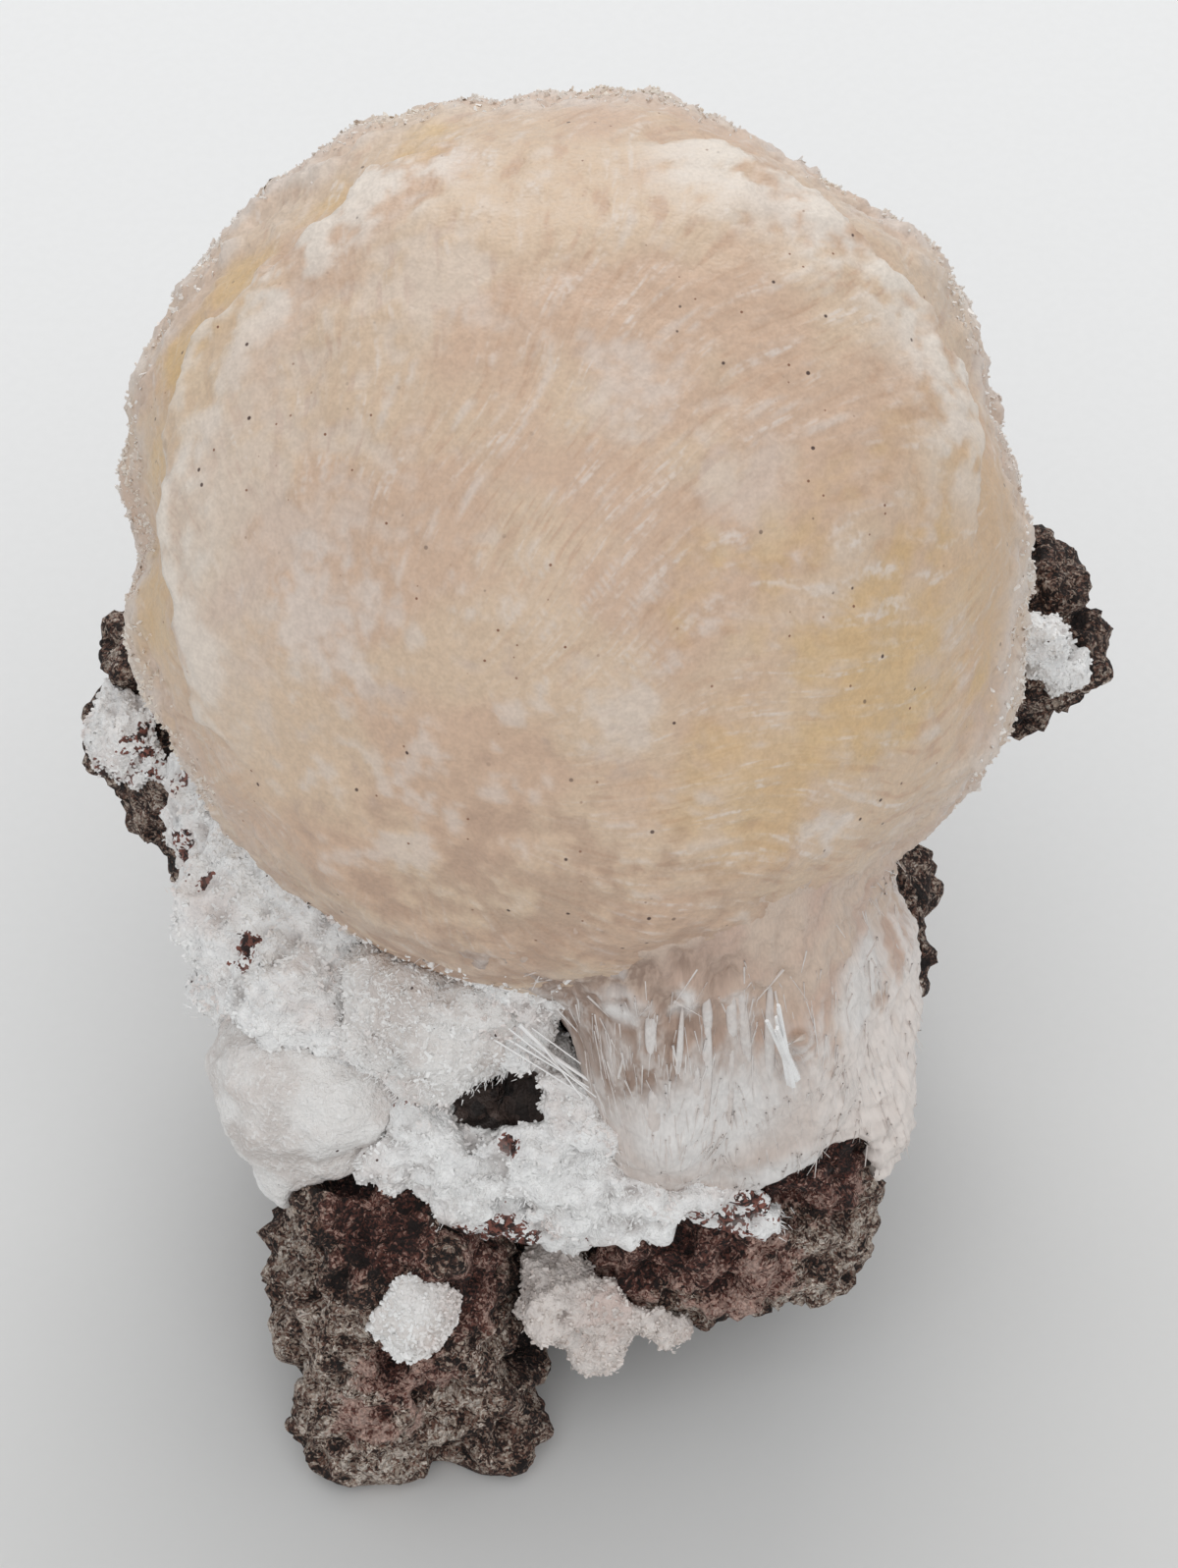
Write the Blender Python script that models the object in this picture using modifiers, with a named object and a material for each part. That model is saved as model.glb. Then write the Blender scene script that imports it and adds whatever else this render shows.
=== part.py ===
"""A thomsonite specimen: one large ball of radiating fibres, seated with smaller crystal growths on a
vesicular basalt matrix. Metres, +Z up, standing on z = 0 with its origin at the bottom centre."""

import math

import bmesh
import bpy
from mathutils import Matrix, Vector, noise

MM = 0.001

# Driving dimensions. The ball sets the scale of the specimen.
BALL_RADIUS = 20.6 * MM
BALL_CENTRE = Vector((0.0, 0.0, 42.0)) * MM
GAP = 0.32 * MM

# The ball's worn face looks up and forward. A ledge runs round its two upper sides,
# at these angles from the middle of that face, and beyond it the ball is a coarse druse.
FACE_TILT = math.radians(48)
FACE_AXIS = Vector((0.0, -math.cos(FACE_TILT), math.sin(FACE_TILT)))
FACE_UP = Vector((0.0, math.sin(FACE_TILT), math.cos(FACE_TILT)))
FACE_RIGHT = Vector((1.0, 0.0, 0.0))
LEDGE_ANGLE_RIGHT = math.radians(55)
LEDGE_ANGLE_LEFT = math.radians(64)
LEDGE_RISE = 0.8 * MM
LEDGE_LIP = 0.3 * MM
UNDERCUT = 0.5 * MM
SWELL = 0.55 * MM
DRUSE = 0.35 * MM
# How far the ball's outline, seen straight at its worn face, departs from a circle: millimetres at
# every ten degrees of bearing, from the right and up over the top.
OUTLINE = [
    -0.55, -1.20, -1.30, -0.60, 0.00, -1.00, -1.30, -0.70, -0.10, -0.40, -0.35, 0.15,
    0.50, 0.35, 0.30, 0.60, 0.60, -0.20, -1.40, -0.10, -0.50, -0.80, -0.50, -0.30,
    -0.20, -0.20, -0.20, -0.20, -0.20, -0.20, -0.30, -0.30, -0.40, -0.40, -0.40, -0.45,
]

# A lump is a centre and three half-sizes in millimetres, how square it is (2 is an ellipsoid), and a
# turn about the vertical in degrees.
MATRIX_LUMPS = [
    ((-1.5, 7.5, 21.0), (18.0, 12.0, 7.5), 2.6, 0),
    ((-19.2, 3.4, 24.6), (4.2, 4.8, 4.6), 2.4, 20),
    ((-20.3, 5.4, 28.0), (2.2, 2.8, 2.8), 2.3, 0),
    ((20.2, 11.2, 24.2), (4.6, 4.6, 4.6), 2.5, -15),
    ((22.4, 11.8, 27.2), (2.2, 3.0, 3.2), 2.3, 10),
    ((12.6, -1.5, 19.6), (3.6, 6.5, 5.6), 2.5, 0),
    ((-0.6, -1.5, 15.0), (13.2, 13.4, 10.5), 3.2, 4),
    ((-0.6, 4.0, 6.0), (13.0, 13.0, 9.0), 3.4, -6),
    ((1.5, 15.0, 15.0), (12.4, 6.5, 11.5), 2.8, 8),
    ((-8.6, -13.6, 9.0), (4.9, 7.4, 9.4), 3.6, -3),
    ((-10.0, -18.9, 2.2), (3.6, 4.6, 5.2), 2.4, 0),
    ((-5.0, -17.9, 1.7), (2.8, 4.2, 4.4), 2.3, 12),
    ((6.0, -10.8, 13.2), (6.8, 7.2, 6.0), 3.4, 3),
    ((10.9, -15.2, 9.9), (2.3, 2.6, 2.6), 2.2, 0),
    ((5.4, -15.2, 8.8), (3.2, 3.0, 2.4), 2.4, 0),
    ((-1.5, 19.0, 22.0), (9.0, 3.4, 5.0), 2.4, 0),
]
# Vesicles and pockets in the rock: centre and radius in millimetres.
VESICLES = [
    ((-2.7, -20.8, 8.0), 1.7),
    ((4.2, -18.4, 14.8), 1.5),
    ((10.2, -17.6, 15.2), 2.1),
    ((-1.4, -15.6, 22.4), 2.9),
    ((7.4, -18.4, 8.0), 1.2),
    ((-14.4, -11.0, 11.0), 1.3),
    ((-14.6, 2.0, 9.0), 2.0),
    ((13.4, -3.0, 12.5), 1.8),
    ((14.4, 7.5, 9.5), 2.2),
    ((-6.0, 20.8, 13.5), 2.1),
    ((6.5, 21.6, 17.0), 1.8),
    ((9.0, 19.0, 7.0), 1.5),
    ((-20.0, 9.0, 20.5), 1.4),
    ((21.0, 6.5, 20.5), 1.3),
]
FAN_LUMPS = [
    ((3.9, -13.8, 28.0), (4.0, 5.8, 11.0), 2.3, 0),
    ((8.0, -12.6, 26.0), (5.0, 5.8, 10.0), 2.4, 0),
    ((11.8, -9.2, 23.4), (3.4, 5.2, 7.6), 2.4, 0),
    ((12.0, -11.6, 18.4), (2.9, 3.8, 5.4), 2.4, 12),
    ((5.4, -14.2, 20.4), (4.6, 3.4, 4.6), 2.4, 0),
]
CRUST_LUMPS = [
    ((-1.0, -15.8, 18.4), (7.6, 3.7, 3.6), 2.5, 0),
    ((7.0, -15.6, 16.8), (2.4, 2.7, 3.6), 2.2, 0),
    ((-7.0, -15.0, 18.6), (4.0, 3.5, 3.4), 2.3, 0),
    ((-7.8, -11.8, 24.2), (4.6, 3.6, 3.4), 2.4, 0),
    ((-12.2, -10.2, 25.4), (4.0, 4.0, 3.2), 2.4, 0),
    ((-15.0, -6.0, 25.8), (3.0, 5.0, 3.4), 2.4, 0),
    ((-16.9, -1.0, 26.6), (2.3, 4.4, 3.0), 2.3, 0),
    ((-15.4, -8.6, 23.2), (2.1, 2.3, 2.4), 2.2, 0),
]
POCKET_LUMPS = [
    ((-0.6, -17.4, 10.4), (2.4, 2.8, 1.9), 2.3, 0),
    ((2.2, -17.4, 9.8), (2.2, 2.6, 2.0), 2.3, 0),
    ((0.5, -18.0, 7.9), (1.4, 2.0, 2.1), 2.2, 0),
    ((3.8, -16.8, 8.2), (1.4, 2.2, 1.6), 2.2, 0),
]
LEFT_SPHERULE = [
    ((-12.2, -13.0, 20.2), (4.5, 4.3, 4.6), 2.2, 0),
    ((-11.8, -12.6, 16.6), (3.9, 4.6, 3.6), 2.2, 0),
]
MIDDLE_SPHERULE = [((-6.6, -13.8, 26.4), (4.1, 3.8, 3.5), 2.2, 0)]
LOWER_SPHERULE = [((-7.9, -19.8, 13.2), (2.4, 2.9, 2.6), 2.2, 0)]
LEFT_KNOB_CRUST = [((-20.9, 1.6, 27.6), (1.9, 2.6, 1.8), 2.3, 0)]
RIGHT_KNOB_CRUST = [((22.8, 9.4, 26.4), (1.7, 2.4, 2.0), 2.3, 0)]

# Free-standing needles: foot and tip in millimetres.
NEEDLES = [
    ((9.6, -17.3, 27.4), (8.7, -20.8, 35.0)),
    ((9.9, -17.3, 27.4), (9.3, -20.9, 34.8)),
    ((10.2, -17.1, 27.2), (9.8, -20.4, 33.6)),
]
NEEDLE_RADIUS = 0.20 * MM
NEEDLE_SIDES = 6

# Colour, roughness and metallic value of each kind of mineral.
BASALT = ("basalt", (0.13, 0.095, 0.08, 1.0), 0.9, 0.0)
BALL_PINK = ("thomsonite_pink", (0.56, 0.42, 0.32, 1.0), 0.5, 0.0)
FIBRE_PALE = ("fibre_pale", (0.56, 0.50, 0.47, 1.0), 0.4, 0.0)
CHALK_WHITE = ("zeolite_white", (0.68, 0.67, 0.65, 1.0), 0.7, 0.0)


def clear_scene():
    for obj in list(bpy.data.objects):
        bpy.data.objects.remove(obj)


def collection(name):
    made = bpy.data.collections.new(name)
    bpy.context.scene.collection.children.link(made)
    return made


def material(spec):
    name, colour, roughness, metallic = spec
    made = bpy.data.materials.get(name)
    if made is None:
        made = bpy.data.materials.new(name)
        made.use_nodes = True
        shader = made.node_tree.nodes["Principled BSDF"]
        shader.inputs["Base Color"].default_value = colour
        shader.inputs["Roughness"].default_value = roughness
        shader.inputs["Metallic"].default_value = metallic
        made.diffuse_color = colour
    return made


def add_object(name, bm, where):
    mesh = bpy.data.meshes.new(name)
    bm.to_mesh(mesh)
    bm.free()
    obj = bpy.data.objects.new(name, mesh)
    where.objects.link(obj)
    return obj


def bake_modifiers(obj):
    """Replaces the object's mesh with what its modifiers make of it."""
    graph = bpy.context.evaluated_depsgraph_get()
    made = bpy.data.meshes.new_from_object(obj.evaluated_get(graph))
    old = obj.data
    obj.modifiers.clear()
    obj.data = made
    bpy.data.meshes.remove(old)


def smoothstep(low, high, value):
    t = min(1.0, max(0.0, (value - low) / (high - low)))
    return t * t * (3.0 - 2.0 * t)


def add_lump(bm, lump, subdivisions=4):
    """A rounded block: a sphere pushed out towards its box by the squareness."""
    centre, half_sizes, squareness, turn = lump
    made = bmesh.ops.create_icosphere(bm, subdivisions=subdivisions, radius=1.0)
    spin = Matrix.Rotation(math.radians(turn), 3, "Z")
    for vertex in made["verts"]:
        direction = vertex.co.normalized()
        reach = sum(abs(c) ** squareness for c in direction) ** (-1.0 / squareness)
        local = Vector([c * reach * half for c, half in zip(direction, half_sizes)])
        vertex.co = (spin @ local + Vector(centre)) * MM


def fused(name, lumps, voxel, where):
    """One closed skin round all the lumps."""
    bm = bmesh.new()
    for lump in lumps:
        add_lump(bm, lump)
    obj = add_object(name, bm, where)
    one_skin(obj, voxel)
    return obj


def one_skin(obj, voxel):
    """Rebuilds obj as one closed skin of even faces."""
    remesh = obj.modifiers.new("one skin", "REMESH")
    remesh.mode = "VOXEL"
    remesh.voxel_size = voxel
    bake_modifiers(obj)


def roughen(obj, layers, seed):
    """Moves each vertex along its normal by layers of noise. A layer is (grain size, height, kind):
    "swell" rises and falls, "knob" leaves rounded knobs with creases between them, and "break" leaves
    flat fractured facets."""
    shift = Vector((seed * 3.7, seed * 1.9, seed * 5.3))
    mesh = obj.data
    normals = [vertex.normal.copy() for vertex in mesh.vertices]
    for vertex, normal in zip(mesh.vertices, normals):
        rise = 0.0
        for grain, height, kind in layers:
            point = vertex.co / grain + shift
            if kind == "swell":
                rise += height * noise.noise(point)
            elif kind == "knob":
                rise += height * (0.35 - 1.6 * abs(noise.noise(point)))
            else:
                _, points = noise.voronoi(point)
                rise += height * 2.0 * noise.noise(points[0] * 3.1)
        vertex.co += normal * rise
    mesh.update()


def thin_out(obj, triangles):
    """Merges edges until about this many triangles are left."""
    obj.data.calc_loop_triangles()
    decimate = obj.modifiers.new("fewer faces", "DECIMATE")
    decimate.ratio = min(1.0, triangles / len(obj.data.loop_triangles))
    decimate.use_collapse_triangulate = True
    bake_modifiers(obj)


def as_cutter(obj, cutters, voxel=0.5 * MM):
    """A copy of obj whose surface is moved out by the gap that neighbours keep, as one clean skin."""
    bm = bmesh.new()
    bm.from_mesh(obj.data)
    bm.normal_update()
    moved = [(vertex, vertex.co + vertex.normal * GAP * 1.15) for vertex in bm.verts]
    for vertex, place in moved:
        vertex.co = place
    cutter = add_object(obj.name + "_cutter", bm, cutters)
    one_skin(cutter, voxel)
    thin_out(cutter, max(600, 2 * len(obj.data.polygons)))
    hide_cutter(cutter)
    return cutter


def hide_cutter(cutter):
    cutter.hide_render = True
    cutter.display_type = "WIRE"


def boxes_meet(first, second):
    for axis in range(3):
        a = [vertex.co[axis] for vertex in first.data.vertices]
        b = [vertex.co[axis] for vertex in second.data.vertices]
        if min(a) > max(b) or min(b) > max(a):
            return False
    return True


def cut(obj, *cutters):
    for cutter in cutters:
        if not boxes_meet(obj, cutter):
            continue
        boolean = obj.modifiers.new("cut by " + cutter.name, "BOOLEAN")
        boolean.operation = "DIFFERENCE"
        boolean.solver = "EXACT"
        boolean.object = cutter
        bake_modifiers(obj)


def keep_largest(obj):
    """Drops the crumbs that a cut leaves beside the main body."""
    bm = bmesh.new()
    bm.from_mesh(obj.data)
    bmesh.ops.triangulate(bm, faces=bm.faces)
    left = set(bm.verts)
    islands = []
    while left:
        island = {left.pop()}
        border = list(island)
        while border:
            vertex = border.pop()
            for edge in vertex.link_edges:
                other = edge.other_vert(vertex)
                if other in left:
                    left.remove(other)
                    island.add(other)
                    border.append(other)
        islands.append(island)
    islands.sort(key=len, reverse=True)
    crumbs = [vertex for island in islands[1:] for vertex in island]
    bmesh.ops.delete(bm, geom=crumbs, context="VERTS")
    bm.to_mesh(obj.data)
    bm.free()


def finish(obj, spec):
    obj.data.materials.clear()
    obj.data.materials.append(material(spec))
    obj.data.shade_smooth()
    obj.data.set_sharp_from_angle(angle=math.radians(35))


def face_angles(direction):
    """(angle from the middle of the worn face, bearing round it, with 0 to the right and a quarter
    turn up), in radians."""
    angle = math.acos(max(-1.0, min(1.0, direction.dot(FACE_AXIS))))
    bearing = math.atan2(direction.dot(FACE_UP), direction.dot(FACE_RIGHT))
    return angle, bearing


def ledge_shares(bearing):
    """How strongly the right and the left ledge show at a bearing: fully on the upper right and on
    the left, and not across the bottom."""
    degrees = math.degrees(bearing)
    right = smoothstep(-8, 18, degrees) * (1.0 - smoothstep(66, 88, degrees))
    turned = degrees % 360
    left = smoothstep(98, 118, turned) * (1.0 - smoothstep(190, 222, turned))
    return right, left


def outline_rise(bearing):
    step = math.degrees(bearing) % 360 / 10
    first = int(step) % 36
    share = smoothstep(0.0, 1.0, step - int(step))
    return MM * (OUTLINE[first] * (1.0 - share) + OUTLINE[(first + 1) % 36] * share)


def ball_radius(direction):
    """Distance from the ball's centre to its skin in a direction."""
    angle, bearing = face_angles(direction)
    right, left = ledge_shares(bearing)
    waver = math.radians(5.0) * noise.noise(direction * 3.0)
    rise = SWELL * noise.noise(direction * 2.3 + Vector((4.0, 1.0, 7.0)))
    rise += 0.4 * SWELL * noise.noise(direction * 6.0)
    for share, ledge in ((right, LEDGE_ANGLE_RIGHT), (left, LEDGE_ANGLE_LEFT)):
        past = angle + waver - ledge
        plateau = smoothstep(math.radians(-32), math.radians(-4), past)
        rise += share * LEDGE_RISE * plateau * (1.0 - smoothstep(0.0, math.radians(5), past))
        lip = math.exp(-((past / math.radians(3.5)) ** 2))
        rise += share * LEDGE_LIP * lip
    limb = smoothstep(math.radians(52), math.radians(78), angle)
    limb *= 1.0 - smoothstep(math.radians(112), math.radians(160), angle)
    rise += limb * outline_rise(bearing)
    below = smoothstep(math.radians(58), math.radians(80), angle)
    below *= smoothstep(0.5, 0.95, -math.sin(bearing))
    rise -= UNDERCUT * below
    coarse = smoothstep(math.radians(62), math.radians(74), angle + waver) * (1.0 - below)
    rise += coarse * DRUSE * (0.5 - 1.7 * abs(noise.noise(direction * 13.0)))
    return BALL_RADIUS + rise


def make_ball(parts):
    bm = bmesh.new()
    bmesh.ops.create_icosphere(bm, subdivisions=5, radius=1.0)
    for vertex in bm.verts:
        direction = vertex.co.normalized()
        vertex.co = BALL_CENTRE + direction * ball_radius(direction)
    ball = add_object("thomsonite_ball", bm, parts)
    thin_out(ball, 2500)
    finish(ball, BALL_PINK)
    return ball


def make_matrix(parts, cutters, ball_cutter):
    matrix = fused("basalt_matrix", MATRIX_LUMPS, 0.6 * MM, parts)
    layers = [
        (7.0 * MM, 1.5 * MM, "swell"),
        (4.2 * MM, 0.9 * MM, "break"),
        (3.0 * MM, 0.9 * MM, "knob"),
    ]
    roughen(matrix, layers, seed=3)
    one_skin(matrix, 0.5 * MM)
    cut(matrix, ball_cutter, vesicle_cutter(cutters))
    one_skin(matrix, 0.4 * MM)
    thin_out(matrix, 3400)
    cut(matrix, floor_cutter(cutters))
    keep_largest(matrix)
    finish(matrix, BASALT)
    return matrix


def vesicle_cutter(cutters):
    bm = bmesh.new()
    for centre, radius in VESICLES:
        made = bmesh.ops.create_icosphere(bm, subdivisions=2, radius=radius * MM)
        for vertex in made["verts"]:
            vertex.co += Vector(centre) * MM
    cutter = add_object("vesicle_cutter", bm, cutters)
    hide_cutter(cutter)
    return cutter


def floor_cutter(cutters):
    """Takes off all that is below z = 0, so that the rock stands on a flat broken face."""
    size = 120.0 * MM
    bm = bmesh.new()
    bmesh.ops.create_cube(bm, size=size)
    bmesh.ops.translate(bm, verts=bm.verts, vec=(0.0, 0.0, -size / 2))
    cutter = add_object("floor_cutter", bm, cutters)
    hide_cutter(cutter)
    return cutter


def make_growth(name, lumps, layers, triangles, spec, neighbours, parts, seed, voxel=0.45 * MM):
    """A crystal growth, cut back from the neighbours that it sits against."""
    growth = fused(name, lumps, voxel, parts)
    roughen(growth, layers, seed)
    one_skin(growth, voxel)
    cut(growth, *neighbours)
    one_skin(growth, 0.25 * MM)
    thin_out(growth, triangles)
    keep_largest(growth)
    finish(growth, spec)
    return growth


def add_needles(fan, cutters):
    """Joins the free-standing needles to the fibre fan that they grow from."""
    for foot, tip in NEEDLES:
        start, end = Vector(foot) * MM, Vector(tip) * MM
        along = end - start
        bm = bmesh.new()
        bmesh.ops.create_cone(
            bm,
            cap_ends=True,
            segments=NEEDLE_SIDES,
            radius1=NEEDLE_RADIUS,
            radius2=NEEDLE_RADIUS * 0.6,
            depth=along.length,
        )
        turn = along.to_track_quat("Z", "Y").to_matrix().to_4x4()
        bmesh.ops.transform(bm, matrix=Matrix.Translation((start + end) / 2) @ turn, verts=bm.verts)
        needle = add_object("needle", bm, cutters)
        hide_cutter(needle)
        union = fan.modifiers.new("needle", "BOOLEAN")
        union.operation = "UNION"
        union.solver = "EXACT"
        union.object = needle
        bake_modifiers(fan)
    keep_largest(fan)
    finish(fan, FIBRE_PALE)


def stand_on_origin(parts):
    """Moves all the pieces together so that the origin is at the bottom centre of their box."""
    points = [vertex.co for obj in parts.objects for vertex in obj.data.vertices]
    low = Vector([min(point[i] for point in points) for i in range(3)])
    high = Vector([max(point[i] for point in points) for i in range(3)])
    middle = (low + high) / 2
    shift = Matrix.Translation((-middle.x, -middle.y, -low.z))
    for obj in parts.objects:
        obj.data.transform(shift)


def main():
    clear_scene()
    parts = collection("thomsonite_specimen")
    cutters = collection("cutters")

    ball = make_ball(parts)
    ball_cutter = as_cutter(ball, cutters)
    matrix = make_matrix(parts, cutters, ball_cutter)
    matrix_cutter = as_cutter(matrix, cutters)
    solid = [ball_cutter, matrix_cutter]

    smooth = [(4.0 * MM, 0.5 * MM, "swell"), (1.6 * MM, 0.2 * MM, "swell")]
    lumpy = [(3.5 * MM, 0.8 * MM, "swell"), (1.8 * MM, 0.45 * MM, "knob")]
    fluted = [(5.0 * MM, 0.6 * MM, "swell"), (1.7 * MM, 0.35 * MM, "knob")]

    fan = make_growth("fibre_fan", FAN_LUMPS, fluted, 850, FIBRE_PALE, solid, parts, 5)
    add_needles(fan, cutters)
    solid.append(as_cutter(fan, cutters))

    spherules = [
        ("left_spherule", LEFT_SPHERULE, 380),
        ("middle_spherule", MIDDLE_SPHERULE, 320),
        ("lower_spherule", LOWER_SPHERULE, 160),
    ]
    for seed, (name, lumps, triangles) in enumerate(spherules, start=11):
        spherule = make_growth(name, lumps, smooth, triangles, CHALK_WHITE, solid, parts, seed)
        solid.append(as_cutter(spherule, cutters))

    crusts = [
        ("white_crust", CRUST_LUMPS, 1300),
        ("pocket_crust", POCKET_LUMPS, 380),
        ("left_knob_crust", LEFT_KNOB_CRUST, 200),
        ("right_knob_crust", RIGHT_KNOB_CRUST, 200),
    ]
    for seed, (name, lumps, triangles) in enumerate(crusts, start=21):
        crust = make_growth(name, lumps, lumpy, triangles, CHALK_WHITE, solid, parts, seed)
        solid.append(as_cutter(crust, cutters))

    stand_on_origin(parts)


main()
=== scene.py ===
"""Looks of the thomsonite specimen: the fine surface of the ball, the crystals of its rim, the white
crusts, the fibre fan and the vesicular rock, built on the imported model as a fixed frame."""

import math

import bmesh
import bpy
import numpy as np
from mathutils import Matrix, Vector, noise
from mathutils.bvhtree import BVHTree


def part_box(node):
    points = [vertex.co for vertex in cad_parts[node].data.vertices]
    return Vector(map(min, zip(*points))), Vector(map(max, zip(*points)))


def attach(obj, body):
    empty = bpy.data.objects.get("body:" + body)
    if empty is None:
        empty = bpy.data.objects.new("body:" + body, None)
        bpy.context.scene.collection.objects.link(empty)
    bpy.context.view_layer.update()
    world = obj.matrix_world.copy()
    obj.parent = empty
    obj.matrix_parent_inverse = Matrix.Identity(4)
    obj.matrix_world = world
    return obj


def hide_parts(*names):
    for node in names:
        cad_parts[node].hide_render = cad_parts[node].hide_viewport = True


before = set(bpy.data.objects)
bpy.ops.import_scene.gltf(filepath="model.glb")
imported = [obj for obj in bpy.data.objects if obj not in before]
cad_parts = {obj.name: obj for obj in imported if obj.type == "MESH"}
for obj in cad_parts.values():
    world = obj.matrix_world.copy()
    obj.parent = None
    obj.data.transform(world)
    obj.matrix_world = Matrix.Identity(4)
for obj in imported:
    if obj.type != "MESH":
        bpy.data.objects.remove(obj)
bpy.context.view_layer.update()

MM = 0.001
FACE_TILT = math.radians(48)
FACE_AXIS = Vector((0.0, -math.cos(FACE_TILT), math.sin(FACE_TILT)))
FACE_UP = Vector((0.0, math.sin(FACE_TILT), math.cos(FACE_TILT)))
FACE_RIGHT = Vector((1.0, 0.0, 0.0))

# The ball's form, in the same terms as the solid's.
BALL_RADIUS = 20.6 * MM
DESIGN_CENTRE = Vector((0.0, 0.0, 42.0)) * MM
LEDGE_ANGLE_RIGHT = math.radians(55)
LEDGE_ANGLE_LEFT = math.radians(56)
LEDGE_RISE = 0.8 * MM
LEDGE_LIP = 0.3 * MM
UNDERCUT = 0.5 * MM
SWELL = 0.55 * MM
DRUSE = 0.35 * MM
OUTLINE = [
    -0.55, -1.20, -1.30, -0.60, 0.00, -1.00, -1.30, -0.70, -0.10, -0.40, -0.35, 0.15,
    0.50, 0.35, 0.30, 0.60, 0.60, -0.20, -1.40, -0.10, -0.50, -0.80, -0.50, -0.30,
    -0.20, -0.20, -0.20, -0.20, -0.20, -0.20, -0.30, -0.30, -0.40, -0.40, -0.40, -0.45,
]

# The fibres run over the ball like meridians from this point low on its front.
STREAK_POLE = Vector((-0.41, -0.855, 0.307)).normalized()


def smooth(low, high, value):
    t = np.clip((value - low) / (high - low), 0.0, 1.0)
    return t * t * (3.0 - 2.0 * t)


def unit(rows):
    return rows / np.linalg.norm(rows, axis=1)[:, None]


def hashed(cell, seed):
    """A repeatable number from 0 to 1 for each whole-numbered cell."""
    x, y, z = (cell[..., axis].astype(np.uint64) for axis in range(3))
    mixed = x * np.uint64(73856093) ^ y * np.uint64(19349663) ^ z * np.uint64(83492791)
    mixed = mixed ^ np.uint64(seed * 7919 + 101)
    mixed = (mixed ^ (mixed >> np.uint64(13))) * np.uint64(1274126177)
    mixed = (mixed ^ (mixed >> np.uint64(15))) * np.uint64(2246822519)
    mixed = mixed ^ (mixed >> np.uint64(17))
    return (mixed & np.uint64(0xFFFFFF)).astype(float) / 0xFFFFFF


def waves(points, size, seed=0, octaves=1, rough=0.5):
    """Smooth noise, about -1 to 1, with features of the given size."""
    total = np.zeros(len(points))
    height = 1.0
    for octave in range(octaves):
        scaled = points / size * 2.0**octave + seed * 13.7
        cell = np.floor(scaled).astype(np.int64)
        part = scaled - cell
        fade = part**3 * (part * (part * 6.0 - 15.0) + 10.0)
        layer = np.zeros(len(points))
        for corner in np.ndindex(2, 2, 2):
            at = cell + np.array(corner)
            slope = [hashed(at, seed * 3 + axis) * 2.0 - 1.0 for axis in range(3)]
            away = part - np.array(corner)
            weight = np.prod(np.where(np.array(corner), fade, 1.0 - fade), axis=1)
            layer += weight * sum(slope[axis] * away[:, axis] for axis in range(3))
        total += height * layer * 1.6
        height *= rough
    return total


def cells(points, size, seed=0):
    """Distance to the nearest of scattered points, in units of size, and that point's own number."""
    scaled = points / size
    home = np.floor(scaled).astype(np.int64)
    nearest = np.full(len(points), 9.0)
    number = np.zeros(len(points))
    for step in np.ndindex(3, 3, 3):
        at = home + np.array(step) - 1
        place = at + np.stack([hashed(at, seed * 5 + axis) for axis in range(3)], axis=1)
        distance = np.linalg.norm(scaled - place, axis=1)
        closer = distance < nearest
        nearest = np.where(closer, distance, nearest)
        number = np.where(closer, hashed(at, seed * 5 + 3), number)
    return nearest, number


def new_object(name, data):
    obj = bpy.data.objects.new(name, data)
    bpy.context.scene.collection.objects.link(obj)
    return obj


def mesh_object(name, vertices, faces, material, flat=False):
    mesh = bpy.data.meshes.new(name)
    mesh.from_pydata(vertices, [], faces)
    mesh.update()
    if not flat:
        mesh.shade_smooth()
    mesh.materials.append(material)
    return new_object(name, mesh)


def read(items, field, width, kind=float):
    """One field of all the items, in rows of the given width."""
    flat = np.zeros(len(items) * width, dtype=kind)
    items.foreach_get(field, flat)
    return flat.reshape(-1, width)


def coordinates(mesh):
    return read(mesh.vertices, "co", 3)


def normals(mesh):
    return read(mesh.vertex_normals, "vector", 3)


def set_coordinates(mesh, points):
    mesh.vertices.foreach_set("co", points.ravel())
    mesh.update()


def paint(mesh, **layers):
    """Keeps a number or a place at each vertex under each name, for the material to read."""
    for name, values in layers.items():
        values = np.asarray(values, dtype=np.float32)
        kind, field = ("FLOAT", "value") if values.ndim == 1 else ("FLOAT_VECTOR", "vector")
        mesh.attributes.new(name, kind, "POINT").data.foreach_set(field, values.ravel())


def settle(piece, slot, *nodes):
    """Every piece of the specimen rides on its one body."""
    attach(piece, "root")
    if nodes:
        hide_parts(*nodes)
    return piece


# Materials


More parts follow.
